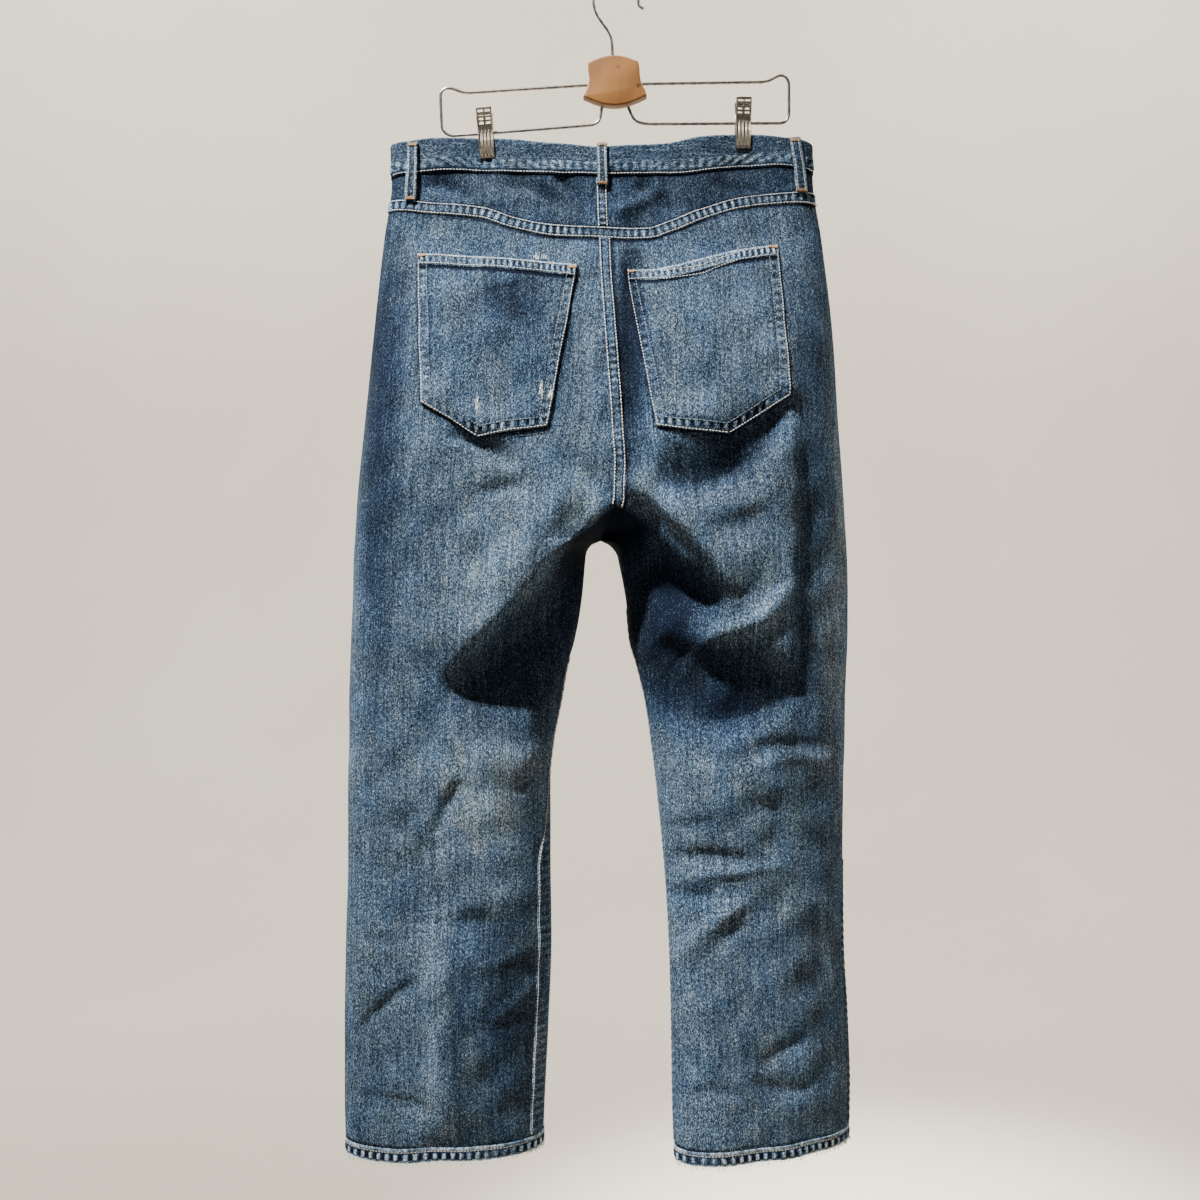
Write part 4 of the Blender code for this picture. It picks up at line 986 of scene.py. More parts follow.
def edge_seam(name, side, face, places, from_out, seed, tone=0.37, strength=0.27):
    """A felled seam along a panel's own edge, its start and width given by height."""
    zs = np.arange(places[0][0], HEM_TOP + 1, -1.8)
    start, width = (line_through(places, k)(zs) for k in (1, 2))
    share = np.linspace(0, 1, 15)[:, None]
    offsets = start + width * share
    us = edge_lines(side, face, zs, offsets, from_out)
    rows = np.broadcast_to(zs, us.shape)
    across = np.abs(2 * share - 1)
    rope = roping(rows, 8.6, seed) * (1 - across**4)
    body = rolled((1 - across) * 3)
    out = 0.1 + EDGE_SEAM_HEIGHT * body + 0.45 * rope * body
    worn = tone + strength * rope + 0.28 * across**6
    item = tailored(name, face, on_cloth(side, face, us, rows, out), np.stack((offsets, rows), -1),
                    worn, "denim_trim", wall=FELLED_WALL)
    stitched_out = EDGE_SEAM_HEIGHT + STITCH_LIFT
    return item, [on_cloth(side, face, us[k], rows[k], stitched_out) for k in (2, -2)]


inseam_left, rows_in_left = edge_seam(
    "inseam_left", "left", BACK,
    ((-690, 0.3, 6), (-800, 0.5, 9), (-850, 1.5, 14), (-905, 4, 24), (-1177, 4, 25)), False, 1.0,
    tone=0.46, strength=0.12)
inseam_right, rows_in_right = edge_seam(
    "inseam_right", "right", FRONT, ((-640, 0.2, 13), (-1177, 0.2, 13)), False, 2.0)
outseam_right, rows_out_right = edge_seam(
    "outseam_right", "right", BACK, ((-900, 0.2, 8), (-980, 0.2, 15), (-1177, 0.2, 15)), True, 3.0)
inseam_stitches = sew("inseam_stitches", rows_in_left + rows_in_right, white_thread, width=0.65)

# --------------------------------------------------------------- back pockets
# Two patches of the same denim with a pointed foot, sewn to the seat round three sides
# by two rows of stitches. The top edge is turned twice, stitched twice and worn white,
# its corners are bar tacked in tan, and the left one is scuffed through near its foot.
POCKET_LIFT, POCKET_WALL, POCKET_BAND, POCKET_BAND_EXTRA = 1.1, 1.5, 12.0, 0.9
POCKET_FACE, POCKET_LONG = POCKET_LIFT + POCKET_WALL, 165.0
ROW_IN, ROW_OUT, ROW_LIFT = 9.8, 1.4, 0.3
TOP_ROWS, TACK_ROWS, TACK_LIFT = (1.9, 10.2), (2.6, 3.6), 1.4
BAND_LINES = (0, 0.7, 1.4, 2.4, 3.6, 5, 6.4, 7.8, 9, 10.2, 11.2, 11.9, 12.3, 13.0, 14.2)
SCUFFS = (
    (-134.9, -445.0, 1.3, 7.0), (-73.7, -430.0, 1.1, 8.0), (-65.0, -434.0, 1.6, 4.5),
    (-76.0, -294.5, 7.0, 2.0),
)
tacks, pocket_rows, inner_rows = [], [], []


def along_points(points, t):
    points = np.array(points, float)
    spots = np.linspace(0, 1, len(points))
    return np.stack([np.interp(t, spots, points[:, k]) for k in range(2)], -1)


def unit(step):
    return step / np.linalg.norm(step)


def inset_line(outline, inset):
    """An open outline's corners, moved inwards by one distance."""
    line = [np.array(point, float) for point in outline]
    corners = []
    for before, corner, after in zip(line, line[1:], line[2:]):
        one, two = unit(before - corner), unit(after - corner)
        half_angle = math.acos(float(np.clip(one @ two, -1, 1))) / 2
        corners.append(corner + unit(one + two) * inset / math.sin(half_angle))
    start = line[0] + (corners[0] - line[1]) * (1, 0)
    end = line[-1] + (corners[-1] - line[-2]) * (1, 0)
    return [start, *corners, end]


for side, pocket in POCKETS.items():
    t = np.linspace(0, 1, 113)
    top, bottom = along_points(pocket["top"], t), along_points(pocket["bottom"], t)
    length = np.linalg.norm(top - bottom, axis=1)
    further = np.linspace(15.5 / POCKET_LONG, 1, 100)[:, None]
    down = np.concatenate((np.array(BAND_LINES)[:, None] / length, further + 0 * length))
    flat = top[None] + (bottom - top)[None] * down[..., None]
    xs, zs = flat[..., 0], flat[..., 1]
    from_top = down * length
    from_side = np.minimum(np.abs(xs - xs[:, :1]), np.abs(xs - xs[:, -1:]))
    from_foot = np.abs(zs - np.interp(xs, bottom[:, 0], bottom[:, 1])) * 0.92
    from_edge = np.minimum(from_side, from_foot)
    in_band = eased((POCKET_BAND + 0.5 - from_top) / 0.9)
    near_foot = hump(from_foot, 12)
    between = bump_between(from_edge, ROW_OUT + 0.8, ROW_IN - 0.6, 1.5) * (1 - in_band)
    rope = roping(np.where(from_side < from_foot, zs, xs), 8.6, 1.0 + xs[0, 0] * 0.01) * between
    band_rope = roping(xs, 5.8, 2.0) * bump_between(from_top, 2.6, 9.6, 1.2) * in_band
    rim = hump(np.minimum(from_edge, from_top), 1.2)
    out = (POCKET_FACE + POCKET_BAND_EXTRA * in_band
           + 0.5 * rope + 0.45 * band_rope - 0.9 * rim)
    # The dark line just under the turned top band is painted shadow.
    worn = (fade_and_shade(BACK, xs, zs) + 0.01 + (0.15 + 0.30 * near_foot) * rope
            - 0.07 * near_foot * between
            + 0.42 * band_rope + 0.05 * in_band + 0.30 * hump(from_top, 1.5)
            + 0.12 * hump(from_top - 11.0, 1.0) + 0.20 * rim * (1 - in_band)
            - 0.48 * hump(from_top - 13.6, 1.6) * (1 - rim)
            - 0.13 * hump(from_edge - ROW_IN - 1.4, 1.2) * (1 - in_band)
            + 0.06 * hump(from_foot - 22, 14))
    worn += 0.4 * sum(patch_at(xs, zs, *scuff) for scuff in SCUFFS)
    tailored(
        f"back_pocket_cloth_{side}", BACK, over_cloth(BACK, xs, zs, out), np.stack((xs, zs), -1),
        worn, "denim_trim", f"back_pocket_{side}", wall=POCKET_WALL)

    outline = [pocket["top"][0], *pocket["bottom"], pocket["top"][-1]]
    for inset, rows in ((ROW_OUT, pocket_rows), (ROW_IN, inner_rows)):
        line = inset_line(outline, inset)
        for a, b in zip(line, line[1:]):
            steps = np.linspace(a, b, int(np.linalg.norm(b - a) / 2))
            rows.append(over_cloth(BACK, *steps.T, POCKET_FACE + ROW_LIFT))
    first, last = (np.array(pocket["top"][k], float) for k in (0, -1))
    row_x = np.linspace(first[0] + 1.5, last[0] - 1.5, 120)
    level = along_points(pocket["top"], (row_x - first[0]) / (last[0] - first[0]))[:, 1]
    for drop in TOP_ROWS:
        pocket_rows.append(
            over_cloth(BACK, row_x, level - drop, POCKET_FACE + POCKET_BAND_EXTRA + ROW_LIFT))
    for corner, way in ((first, 1), (last, -1)):
        row_x = corner[0] + way * np.linspace(1.0, 9.5, 9)
        for drop in TACK_ROWS:
            row_z = np.full(len(row_x), corner[1] - drop)
            tacks.append(over_cloth(BACK, row_x, row_z, POCKET_FACE + TACK_LIFT))
pocket_stitches = sew("back_pocket_stitches", pocket_rows, white_thread, width=0.85)
inner_stitches = sew("back_pocket_inner_stitches", inner_rows, blue_thread, width=0.8)

# Where the left pocket is scuffed through, a few pale weft threads are left hanging.
THREADS_EACH = 14
chance = np.random.RandomState(5)
ends = []
for at_x, at_z, reach_x, reach_z in SCUFFS:
    for _ in range(THREADS_EACH):
        x, z = at_x + chance.uniform(-1, 1) * reach_x, at_z + chance.uniform(-0.7, 0.7) * reach_z
        path_z = z + np.linspace(0, chance.uniform(2.5, 6.0), 4)
        path_x = x + np.linspace(0, chance.uniform(-1.2, 1.2), 4)
        ends.append(over_cloth(BACK, path_x, path_z, POCKET_FACE + chance.uniform(0.2, 0.9)))
scuffed_threads = sew("scuffed_threads", ends, white_thread, length=2.4, pitch=1.6, width=0.5)

# ----------------------------------------------------------------- belt loops
# Five folded strips of denim sewn over the waistband, each held at both ends by a bar
# tack and bowed out between them, with pale worn edges.
LOOP_WIDTH, LOOP_WALL, LOOP_BOW = 11.0, 1.8, 2.6
LOOPS = {
    "belt_loop_back": (BACK, (-14, -168), (-14, -213)),
    "belt_loop_back_left": (BACK, (-206, -167), (-207, -231)),
    "belt_loop_back_right": (BACK, (181, -163), (187, -222)),
    "belt_loop_front_left": (FRONT, (-88, -168), (-88, -214)),
    "belt_loop_front_right": (FRONT, (58, -168), (58, -214)),
}
loop_rows, loop_cloth = [], []
for name, (face, top, bottom) in LOOPS.items():
    t = np.linspace(0, 1, 49)[:, None]
    side_way = np.linspace(-1, 1, 15)[None, :]
    xs = top[0] + (bottom[0] - top[0]) * t + side_way * LOOP_WIDTH / 2
    zs = top[1] + (bottom[1] - top[1]) * t + 0 * side_way
    roll = hump(np.abs(side_way) - 0.74, 0.2)
    lift = (WAISTBAND_OUT + SEAM_GAP + LOOP_WALL + LOOP_BOW * np.sin(np.pi * t) ** 0.7
            + 0.45 * roll - 0.5 * np.abs(side_way) ** 8)
    points = over_cloth(face, xs, zs, lift)
    worn = (0.42 + 0.28 * roll + 0.14 * np.abs(side_way) ** 6
            + 0.08 * roping(zs, 6.5, 1.0) * (1 - roll))
    loop_cloth.append(tailored(
        f"{name}_cloth", face, points, np.stack((xs, zs), -1), worn, "denim_trim", name,
        wall=LOOP_WALL))
    for column in (3, 11):
        loop_rows.append(points[2:-2, column] + (0, face * 0.3, 0))
    for row in (2, 3, -4, -3):
        tacks.append(points[row, 1:-1] + (0, face * 0.45, 0))
sew("belt_loop_stitches", loop_rows, white_thread, width=0.7)

# ------------------------------------------------------------------- leg hems
# Each leg's end is turned up twice and chain stitched. Washing has twisted it into a
# rope of pale and dark squares, worn white along its upper line and frayed below.
HEM_OUT, HEM_IN = 0.7, 1.9
HEM_ROWS, HEM_COLUMNS, HEM_STITCHED_AT = 18, 140, 0.30
HEM_TWIST_PITCH, HEM_TWIST_SEEDS = 9.0, {"left": 1.0, "right": 4.0}
hem_rows, fray_roots = [], []
for side in INWARDS:
    walk = np.linspace(0, 1, HEM_COLUMNS + 1)
    runs = []
    t = np.linspace(0, 1, HEM_ROWS + 1)[:, None]
    run_start = 0.0
    for face, us in ((BACK, walk[:-1]), (FRONT, walk[:0:-1])):
        zs = HEM_TOP - SEAM_GAP / 2 + (HEM_BOTTOM - HEM_TOP + SEAM_GAP / 2) * t + 0 * us
        grid = np.broadcast_to(us, zs.shape)
        run = run_start + run_along(cloth(side, face, grid, zs), 1)
        run_start = float(run[-1, -1])
        twist = roping(run + 2.2 * t, HEM_TWIST_PITCH, HEM_TWIST_SEEDS[side])
        body = bump_between(t, 0.34, 0.86, 0.08)
        out = HEM_OUT + 0.7 * twist * body + 0.5 * body - 0.35 * hump(t - HEM_STITCHED_AT, 0.05)
        zs = zs + 0.6 * np.sin(run / 2.1) * np.sin(run / 7.3) * np.clip(t - 0.85, 0, 1) * 4
        runs.append((on_cloth(side, face, grid, zs, out), run, twist, body + 0 * run))
    points, run, twist, body = (np.concatenate(part, axis=1) for part in zip(*runs))
    points, twist, body = (np.concatenate((v, v[:, :1]), axis=1) for v in (points, twist, body))
    run = np.concatenate((run, run[:, -1:] + 1.5), axis=1)
    patchy = (0.66 + 0.30 * np.sin(run / 11) * np.sin(run / 29 + 1)
              + 0.34 * np.sin(run / 1.9) * np.sin(run / 5.3 + 2))
    worn = (0.47 + 0.52 * np.clip(1.5 * twist, -1, 1) * body + 0.50 * patchy * hump(t - 0.10, 0.16)
            - 0.30 * hump(t - 0.34, 0.05) + 0.60 * patchy * hump(t - 0.97, 0.09))
    tailored(
        f"leg_hem_cloth_{side}", BACK, points, np.stack((run, points[..., 2]), -1), worn,
        "denim_trim", f"leg_hem_{side}", wall=HEM_OUT + HEM_IN, closed=True)
    hem_rows.append(points[int(HEM_ROWS * HEM_STITCHED_AT)])
    fray_roots.append(points[-1])
hem_stitches = sew("leg_hem_stitches", hem_rows, grey_thread, width=1.1)

# Short ends of pale yarn stand out of the hems' worn lower edges.
chance = np.random.RandomState(23)
ends = []
for start in np.concatenate(fray_roots):
    tip = (chance.uniform(-1.5, 1.5), chance.uniform(-0.8, 0.8), -chance.uniform(0.8, 4.4))
    ends.append(np.linspace(start, start + tip, 3))
hem_fray = sew("hem_fray", ends, white_thread, length=2.4, pitch=1.5, width=0.85)

# ------------------------------------------------------------- fly and button
# The left front folds over the right one in a stitched fly, and closes on a domed
# shank button through the waistband.
FLY_WIDTH, FLY_LAP, FLY_TOP, FLY_BOTTOM = 38.0, 4.0, -200.0, -345.0
FLY_LIFT, FLY_WALL, FLY_STRAIGHT, FLY_LEAST = 0.8, 1.3, 0.55, 0.14
FLY_ROWS, FLY_COLUMNS, FLY_PALE_FROM = 59, 25, 0.97
t = np.linspace(0, 1, FLY_ROWS + 1)[:, None]
s = np.linspace(0, 1, FLY_COLUMNS + 1)[None, :]
mid = RISE["mid_x"](FLY_TOP + (FLY_BOTTOM - FLY_TOP) * t)
curve = np.maximum((t - FLY_STRAIGHT) / (1 - FLY_STRAIGHT), 0)
reach = FLY_LAP + FLY_WIDTH * np.maximum(np.sqrt(1 - curve**2), FLY_LEAST)
xs = mid + FLY_LAP - reach * (1 - s)
top = WAIST_SEAM(xs) - SEAM_GAP / 2
zs = top + (FLY_BOTTOM - top) * t
points = over_cloth(FRONT, xs, zs, FLY_LIFT + FLY_WALL)
worn = (0.50 + 0.14 * roping(zs, 7.5, 2.0) * bump_between(s, 0.0, 0.34, 0.06)
        + 0.2 * (s > FLY_PALE_FROM))
fly = tailored("fly_cloth", FRONT, points, np.stack((xs, zs), -1), worn, "denim", "fly",
               wall=FLY_WALL)
fly_stitches = sew("fly_stitches", [points[1:-1, 1], points[1:-1, 6]], white_thread)
sew("bar_tacks", tacks, tan_thread, length=2.2, pitch=0.8, width=0.8, turned=True)

BUTTON_SHIFT, BUTTON_Z, BUTTON_LIFT = 10.0, -186.0, 0.6
BUTTON_PROFILE = ((0, 0), (8.5, 0), (8.5, 1.5), (8.1, 2.1), (7.2, 2.45), (6.2, 2.4), (5.4, 2.1),
                  (4.2, 2.3), (2.6, 2.9), (0, 3.2))


def drawn_line(points):
    """A bmesh with one open line of edges through points, and that line's parts."""
    bm = bmesh.new()
    chain = [bm.verts.new(point) for point in points]
    return bm, chain + [bm.edges.new(pair) for pair in zip(chain, chain[1:])]


bm, line = drawn_line([Vector((r, 0, h)) * MM for r, h in BUTTON_PROFILE])
bmesh.ops.spin(bm, geom=line, cent=(0, 0, 0), axis=(0, 0, 1), angle=math.tau,
               steps=48, use_merge=True, use_duplicate=False)
bmesh.ops.remove_doubles(bm, verts=bm.verts, dist=TINY)
bmesh.ops.recalc_face_normals(bm, faces=bm.faces)
spot = over_cloth(FRONT, np.array([RISE["mid_x"](BUTTON_Z) + BUTTON_SHIFT]), np.array([BUTTON_Z]),
                  WAISTBAND_OUT + OVERLAP_LIFT + BUTTON_LIFT)[0]
bmesh.ops.transform(bm, verts=bm.verts, matrix=(
    Matrix.Translation(Vector(spot) * MM) @ Matrix.Rotation(-math.pi / 2, 4, "X")))


def finish_hard(name, bm, material, slot, *nodes, angle=40):
    """A finished piece of metal or wood, smooth but for edges sharper than an angle."""
    mesh = mesh_of(name, bm)
    mesh.set_sharp_from_angle(angle=math.radians(angle))
    mesh.materials.append(material)
    return fixed(shown(name, mesh), slot, *nodes)


def mix_metal(name, bright, dull, roughness, scale):
    """Bare metal, dulled in clouds by handling."""
    material, shader, paint = new_paint(name, roughness, metallic=1.0)
    where = paint.node("ShaderNodeTexCoord", out="Object")
    cloud = noise(paint, where, scale, 4.0)
    rough = cloud * -0.25 + (roughness + 0.14)
    paint.tree.links.new(rough.socket, shader.inputs["Roughness"])
    coat(paint, shader, ramp(paint, cloud, (0.36, dull), (0.64, bright)), cloud, 0.15, 0.0003)
    return material


brass = mix_metal("aged_brass", (0.62, 0.47, 0.28), (0.30, 0.21, 0.12), 0.34, 420.0)
finish_hard("waist_button_metal", bm, brass, "button_metal", "waist_button")

# --------------------------------------------------------------------- hanger
# A trouser hanger: one steel wire bent into a left and a right loop whose ends are held
# in a pinched block of varnished pale wood, with a hook on top. A sprung clip of nickel
# plated sheet hangs on each loop's lower run and bites on the waistband.
WIRE_RADIUS, HOOK_RADIUS, MOST_ROUNDED = 1.5, 21.5, 0.45
HOOK_BEND, WIRE_BEND = 8.0, 6.0
HOOK_TIP = ((28.0, -27.5), (25.5, -25.8), (23.6, -24.4))
HOOK_END = ((-21, -30), (-18, -36), (-5, -54), (-4, -64), (-3.4, -76.2))
WIRES = {
    "left": ((-29.1, -105.4), (-155, -113.4), (-171.5, -107.4), (-179.6, -112), (-178, -151),
             (-170.5, -157.4), (-141, -155.3), (-24, -146.2), (-16.5, -142), (-14.3, -127.8)),
    "right": ((27.0, -104.3), (154, -102.3), (168.6, -94.4), (176.8, -99.5), (176.8, -138.5),
              (171.5, -144.4), (30, -145.2), (19, -142), (12.3, -127.6)),
}
wire_metal = mix_metal("drawn_wire", (0.50, 0.47, 0.43), (0.22, 0.20, 0.18), 0.30, 180.0)
clip_metal = mix_metal("nickel_plate", (0.66, 0.60, 0.50), (0.34, 0.29, 0.22), 0.30, 240.0)


def rounded_path(points, radius, steps=8):
    """A line through flat points, rounded at its corners as a wire is bent."""
    flat = [Vector((x, 0.0, z)) for x, z in points]
    path = [flat[0]]
    for before, corner, after in zip(flat, flat[1:], flat[2:]):
        start, end = (corner + way.normalized() * min(radius, way.length * MOST_ROUNDED)
                      for way in (before - corner, after - corner))
        for k in range(steps + 1):
            t = k / steps
            path.append(start * (1 - t) ** 2 + corner * 2 * t * (1 - t) + end * t * t)
    return [*path, flat[-1]]


def bend_wire(name, path, radius, material, slot, *nodes):
    """A round wire along a path: a curve with a round bevel, made a mesh."""
    curve = bpy.data.curves.new(name, "CURVE")
    curve.dimensions = "3D"
    curve.bevel_depth = radius * MM
    curve.bevel_resolution = 5
    curve.use_fill_caps = True
    spline = curve.splines.new("POLY")
    spline.points.add(len(path) - 1)
    for knot, point in zip(spline.points, path):
        knot.co = (*(Vector(point) * MM), 1)
    drawn = shown("drawn", curve)
    bpy.context.view_layer.update()
    bent = drawn.evaluated_get(bpy.context.evaluated_depsgraph_get())
    bm = bmesh.new()
    bm.from_mesh(bpy.data.meshes.new_from_object(bent))
    bpy.data.objects.remove(drawn)
    bmesh.ops.remove_doubles(bm, verts=bm.verts, dist=TINY)
    bmesh.ops.recalc_face_normals(bm, faces=bm.faces)
    return finish_hard(name, bm, material, slot, *nodes, angle=60)


reach = HOOK_RADIUS + WIRE_RADIUS
turns = [math.radians(a) for a in range(0, 181, 5)]
arc = [Vector((reach * math.cos(a), 0, reach * math.sin(a) - HOOK_RADIUS)) for a in turns]
hook = ([Vector((x, 0, z)) for x, z in HOOK_TIP] + arc
        + rounded_path(((-reach, -HOOK_RADIUS), *HOOK_END), HOOK_BEND, 6)[1:])
bend_wire("hook_wire", hook, WIRE_RADIUS, wire_metal, "wire", "hanger_hook")
for side, corners in WIRES.items():
    bend_wire(f"loop_wire_{side}", rounded_path(corners, WIRE_BEND), WIRE_RADIUS, wire_metal,
              "wire", f"hanger_wire_{side}")

BLOCK_THICKNESS, BLOCK_TOP_RISE, BLOCK_BOTTOM_DROP, BLOCK_ROUNDED = 12.0, 6.6, 9.6, 1.8
BLOCK_SIDE = ((-28.6, -84), (-28.4, -90), (-27.4, -98), (-28.6, -107), (-31.4, -114), (-33.4, -119))
BLOCK_OTHER_SIDE = ((31.4, -118), (29.6, -112), (26.6, -106), (24.4, -98), (23.9, -90), (22.6, -83))


def arched(start, end, rise, steps=18):
    """Flat points on an arch from start to end, both left out."""
    return [(start[0] + (end[0] - start[0]) * k / steps,
             start[1] + (end[1] - start[1]) * k / steps + rise * math.sin(math.pi * k / steps))
            for k in range(1, steps)]


def carry(bm, made, vec):
    """Moves what has been extruded."""
    bmesh.ops.translate(bm, vec=vec, verts=[v for v in made if isinstance(v, bmesh.types.BMVert)])


outline = [tuple(p) for p in spaced(BLOCK_SIDE, 2.0)]
outline += arched(BLOCK_SIDE[-1], BLOCK_OTHER_SIDE[0], -BLOCK_BOTTOM_DROP)
outline += [tuple(p) for p in spaced(BLOCK_OTHER_SIDE, 2.0)]
outline += arched(BLOCK_OTHER_SIDE[-1], BLOCK_SIDE[0], BLOCK_TOP_RISE)
bm = bmesh.new()
ring = [bm.verts.new(Vector((x, -BLOCK_THICKNESS / 2, z)) * MM) for x, z in outline]
carry(bm, bmesh.ops.extrude_face_region(bm, geom=[bm.faces.new(ring)])["geom"],
      (0, BLOCK_THICKNESS * MM, 0))
rims = [e for e in bm.edges if abs(e.verts[0].co.y - e.verts[1].co.y) < TINY]
bmesh.ops.bevel(bm, geom=rims, offset=BLOCK_ROUNDED * MM, segments=4, profile=0.5, affect="EDGES",
                material=-1)
bmesh.ops.recalc_face_normals(bm, faces=bm.faces)
wood, shader, paint = new_paint("varnished_wood", 0.42, specular=0.45)
where = paint.node("ShaderNodeTexCoord", out="Object")
stretched = paint.node("ShaderNodeMapping", {}, {
    "Vector": where, "Location": (0.3, 0.1, 0.13), "Rotation": (0.0, 0.25, 0.0),
    "Scale": (1.0, 1.2, 0.28)})
rings = paint.node("ShaderNodeTexWave", {"wave_type": "RINGS", "rings_direction": "X"}, {
    "Vector": stretched, "Scale": 26.0, "Distortion": 3.0, "Detail": 3.0, "Detail Scale": 1.4})
knots = paint.node("ShaderNodeTexVoronoi", {"feature": "F1"}, {"Vector": where, "Scale": 42.0})
knot = paint.node("ShaderNodeMapRange", {"interpolation_type": "SMOOTHSTEP"}, {
    "Value": knots, "From Min": 0.05, "From Max": 0.16, "To Min": 0.45, "To Max": 0.0})
figure = rings * 0.35 + noise(paint, stretched, 900.0, 2.0) * 0.3 + 0.2 - knot
grain = ramp(paint, figure, (0.0, (0.06, 0.025, 0.007)), (0.35, (0.22, 0.094, 0.024)),
             (0.8, (0.33, 0.148, 0.040)))
coat(paint, shader, grain, figure, 0.12, 0.0004)
finish_hard("block_wood", bm, wood, "wood", "hanger_block", angle=50)

# Each clip: two jaws of pressed sheet with finger slots and flutes, and a coil spring.
CLIPS = {"left": (-154.7, 4.4), "right": (-144.6, -0.6)}
CLIP_WIDTH, CLIP_WALL, CLIP_ROLL, CLIP_ROLLED_IN = 16.0, 0.9, 1.2, 1.6
JAW_FOOT, JAW_LENGTH, JAW_OUT = -27.0, 51.0, 1.1
FLUTES_FROM, FLUTES_TO, FLUTE_PITCH, FLUTE_DEPTH, FLUTE_END = -25.0, 2.0, 3.55, 0.5, 2
COIL_LENGTH, COIL_RADIUS, COIL_WIRE, COIL_TURNS, COIL_STEPS = 12.0, 2.9, 0.65, 8, 20
JAW_PROFILE = ((-27.0, 4.7), (-16.0, 5.6), (-10.0, 5.2), (-5.0, 4.4), (0.0, 3.9), (4.0, 4.4),
               (14.0, 6.8), (24.0, 7.6))
SLOT_ROWS, SLOT_TOP, SLOT_PITCH, SLOT_HEIGHT = 4, 20.6, 4.0, 2.0
SLOT_INNER, SLOT_OUTER = 0.9, 6.1
jaw_depth = line_through(JAW_PROFILE, 1)
for side, (clip_z, tilt) in CLIPS.items():
    middle = Vector((PINCH_X[side], 0, clip_z))
    turn = Matrix.Translation(middle * MM) @ Matrix.Rotation(math.radians(-tilt), 4, "Y")
    for face, word in ((BACK, "back"), (FRONT, "front")):
        bm = bmesh.new()
        bmesh.ops.create_grid(bm, x_segments=34, y_segments=102, size=0.5)
        for vertex in bm.verts:
            across, height = vertex.co.x * CLIP_WIDTH, JAW_FOOT + (vertex.co.y + 0.5) * JAW_LENGTH
            edge = max(abs(across) - CLIP_WIDTH / 2 + CLIP_ROLL, 0) / CLIP_ROLL
            deep = float(jaw_depth(height)) - CLIP_ROLLED_IN * edge**2
            if FLUTES_FROM < height < FLUTES_TO:
                ends = min(1, (height - FLUTES_FROM) / FLUTE_END, (FLUTES_TO - height) / FLUTE_END)
                deep += FLUTE_DEPTH * math.cos(math.tau * across / FLUTE_PITCH) * ends
            vertex.co = (across, face * (deep + JAW_OUT), height)
        first = SLOT_TOP if face == BACK else SLOT_TOP - SLOT_PITCH / 2
        levels = [first - SLOT_PITCH * k for k in range(SLOT_ROWS)]
        slots = []
        for f in bm.faces:
            at = f.calc_center_median()
            in_row = any(abs(at.z - level) < SLOT_HEIGHT / 2 for level in levels)
            if in_row and SLOT_INNER < abs(at.x) < SLOT_OUTER:
                slots.append(f)
        bmesh.ops.delete(bm, geom=slots, context="FACES")
        bmesh.ops.scale(bm, vec=(MM, MM, MM), verts=bm.verts)
        bmesh.ops.transform(bm, matrix=turn, verts=bm.verts)
        bm.normal_update()
        if sum(f.normal.y for f in bm.faces) * face < 0:
            bmesh.ops.reverse_faces(bm, faces=bm.faces)
        walled(finish_hard(f"jaw_{word}_{side}", bm, clip_metal, "clip_metal",
                           f"clip_jaw_{word}_{side}", angle=50), CLIP_WALL)
    coil = []
    for k in range(COIL_TURNS * COIL_STEPS + 1):
        along, wound = COIL_LENGTH * k / (COIL_TURNS * COIL_STEPS), k * math.tau / COIL_STEPS
        spot = Vector((-COIL_LENGTH / 2 + along, COIL_RADIUS * math.cos(wound),
                       COIL_RADIUS * math.sin(wound)))
        coil.append(turn.to_3x3() @ spot + middle)
    bend_wire(f"coil_spring_{side}", coil, COIL_WIRE, clip_metal, "clip_metal",
              f"clip_spring_{side}")

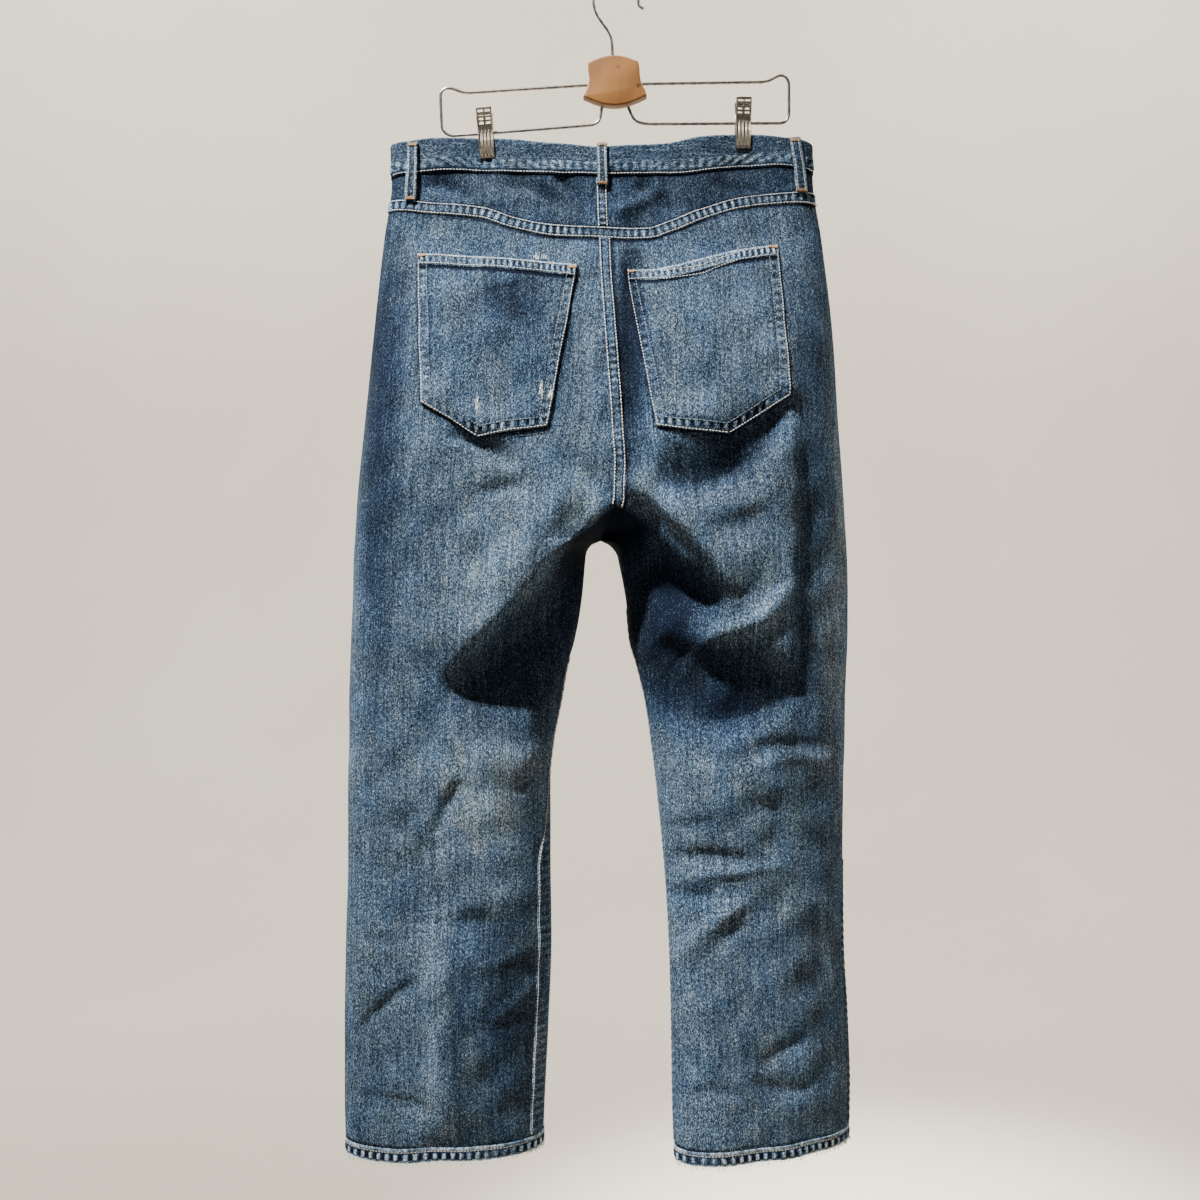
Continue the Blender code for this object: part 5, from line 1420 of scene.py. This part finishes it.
# ---------------------------------------------------------------------- stage
# A plain pale studio bowl, a soft but directed light from high on the left, and the
# camera level with the middle of the jeans.
FLOOR_Z, FLOOR_START, WALL_Y, SWEEP, STAGE_WIDE, STAGE_HIGH = -1.62, -7.0, 3.6, 1.8, 14.0, 6.0
bend = [(WALL_Y - SWEEP + SWEEP * math.sin(a), SWEEP * (1 - math.cos(a)))
        for a in np.linspace(0, math.pi / 2, 17)]
profile = [(FLOOR_START, 0.0), *bend, (WALL_Y, STAGE_HIGH)]
bm, _ = drawn_line([(-STAGE_WIDE / 2, y, h + FLOOR_Z) for y, h in profile])
carry(bm, bmesh.ops.extrude_edge_only(bm, edges=bm.edges[:])["geom"], (STAGE_WIDE, 0, 0))
bmesh.ops.recalc_face_normals(bm, faces=bm.faces)
floor = shown("studio_floor", mesh_of("studio_floor", bm))
plaster, shader, paint = new_paint("pale_floor", 0.95, specular=0.1)
where = paint.node("ShaderNodeTexCoord", out="Object")
tone = ramp(paint, noise(paint, where, 1.4, 3.0),
            (0.3, (0.80, 0.72, 0.59)), (0.7, (0.84, 0.76, 0.63)))
paint.tree.links.new(tone.socket, shader.inputs["Base Color"])
floor.data.materials.append(plaster)

world = bpy.data.worlds.new("soft_sky")
world.use_nodes = True
sky = world.node_tree.nodes["Background"].inputs
sky["Color"].default_value, sky["Strength"].default_value = (1.0, 0.96, 0.89, 1), 0.055
bpy.context.scene.world = world


def hang_light(name, kind, power, place, aim, colour=(1, 1, 1), **settings):
    light = bpy.data.lights.new(name, kind)
    light.energy, light.color = power, colour
    for key, value in settings.items():
        setattr(light, key, value)
    lamp = shown(name, light)
    lamp.location = place
    lamp.rotation_mode = "QUATERNION"
    lamp.rotation_quaternion = (Vector(aim) - Vector(place)).to_track_quat("-Z", "Y")


hang_light("key_light", "SPOT", 7200.0, (-2.2, -2.1, 4.4), (-0.03, 0.0, -0.70), (1.0, 0.97, 0.93),
           spot_size=math.radians(12.5), spot_blend=1.0, shadow_soft_size=0.16)
hang_light("fill_light", "AREA", 9.0, (2.6, -2.2, 0.2), (0.0, 0.0, -0.7), (1.0, 0.95, 0.87),
           size=2.0)
for way in (-1, 1):
    hang_light(f"wall_light_{way + 2}", "AREA", 185.0, (2.2 * way, 0.9, 2.6),
               (1.2 * way, 3.6, -0.6), size=1.6)

lens = bpy.data.cameras.new("camera")
lens.lens, lens.sensor_width = 36.1, 36.0
camera = shown("camera", lens)
camera.location = (-0.01635, -1.230, -0.6316)
camera.rotation_euler = (math.pi / 2, 0, 0)
bpy.context.scene.camera = camera
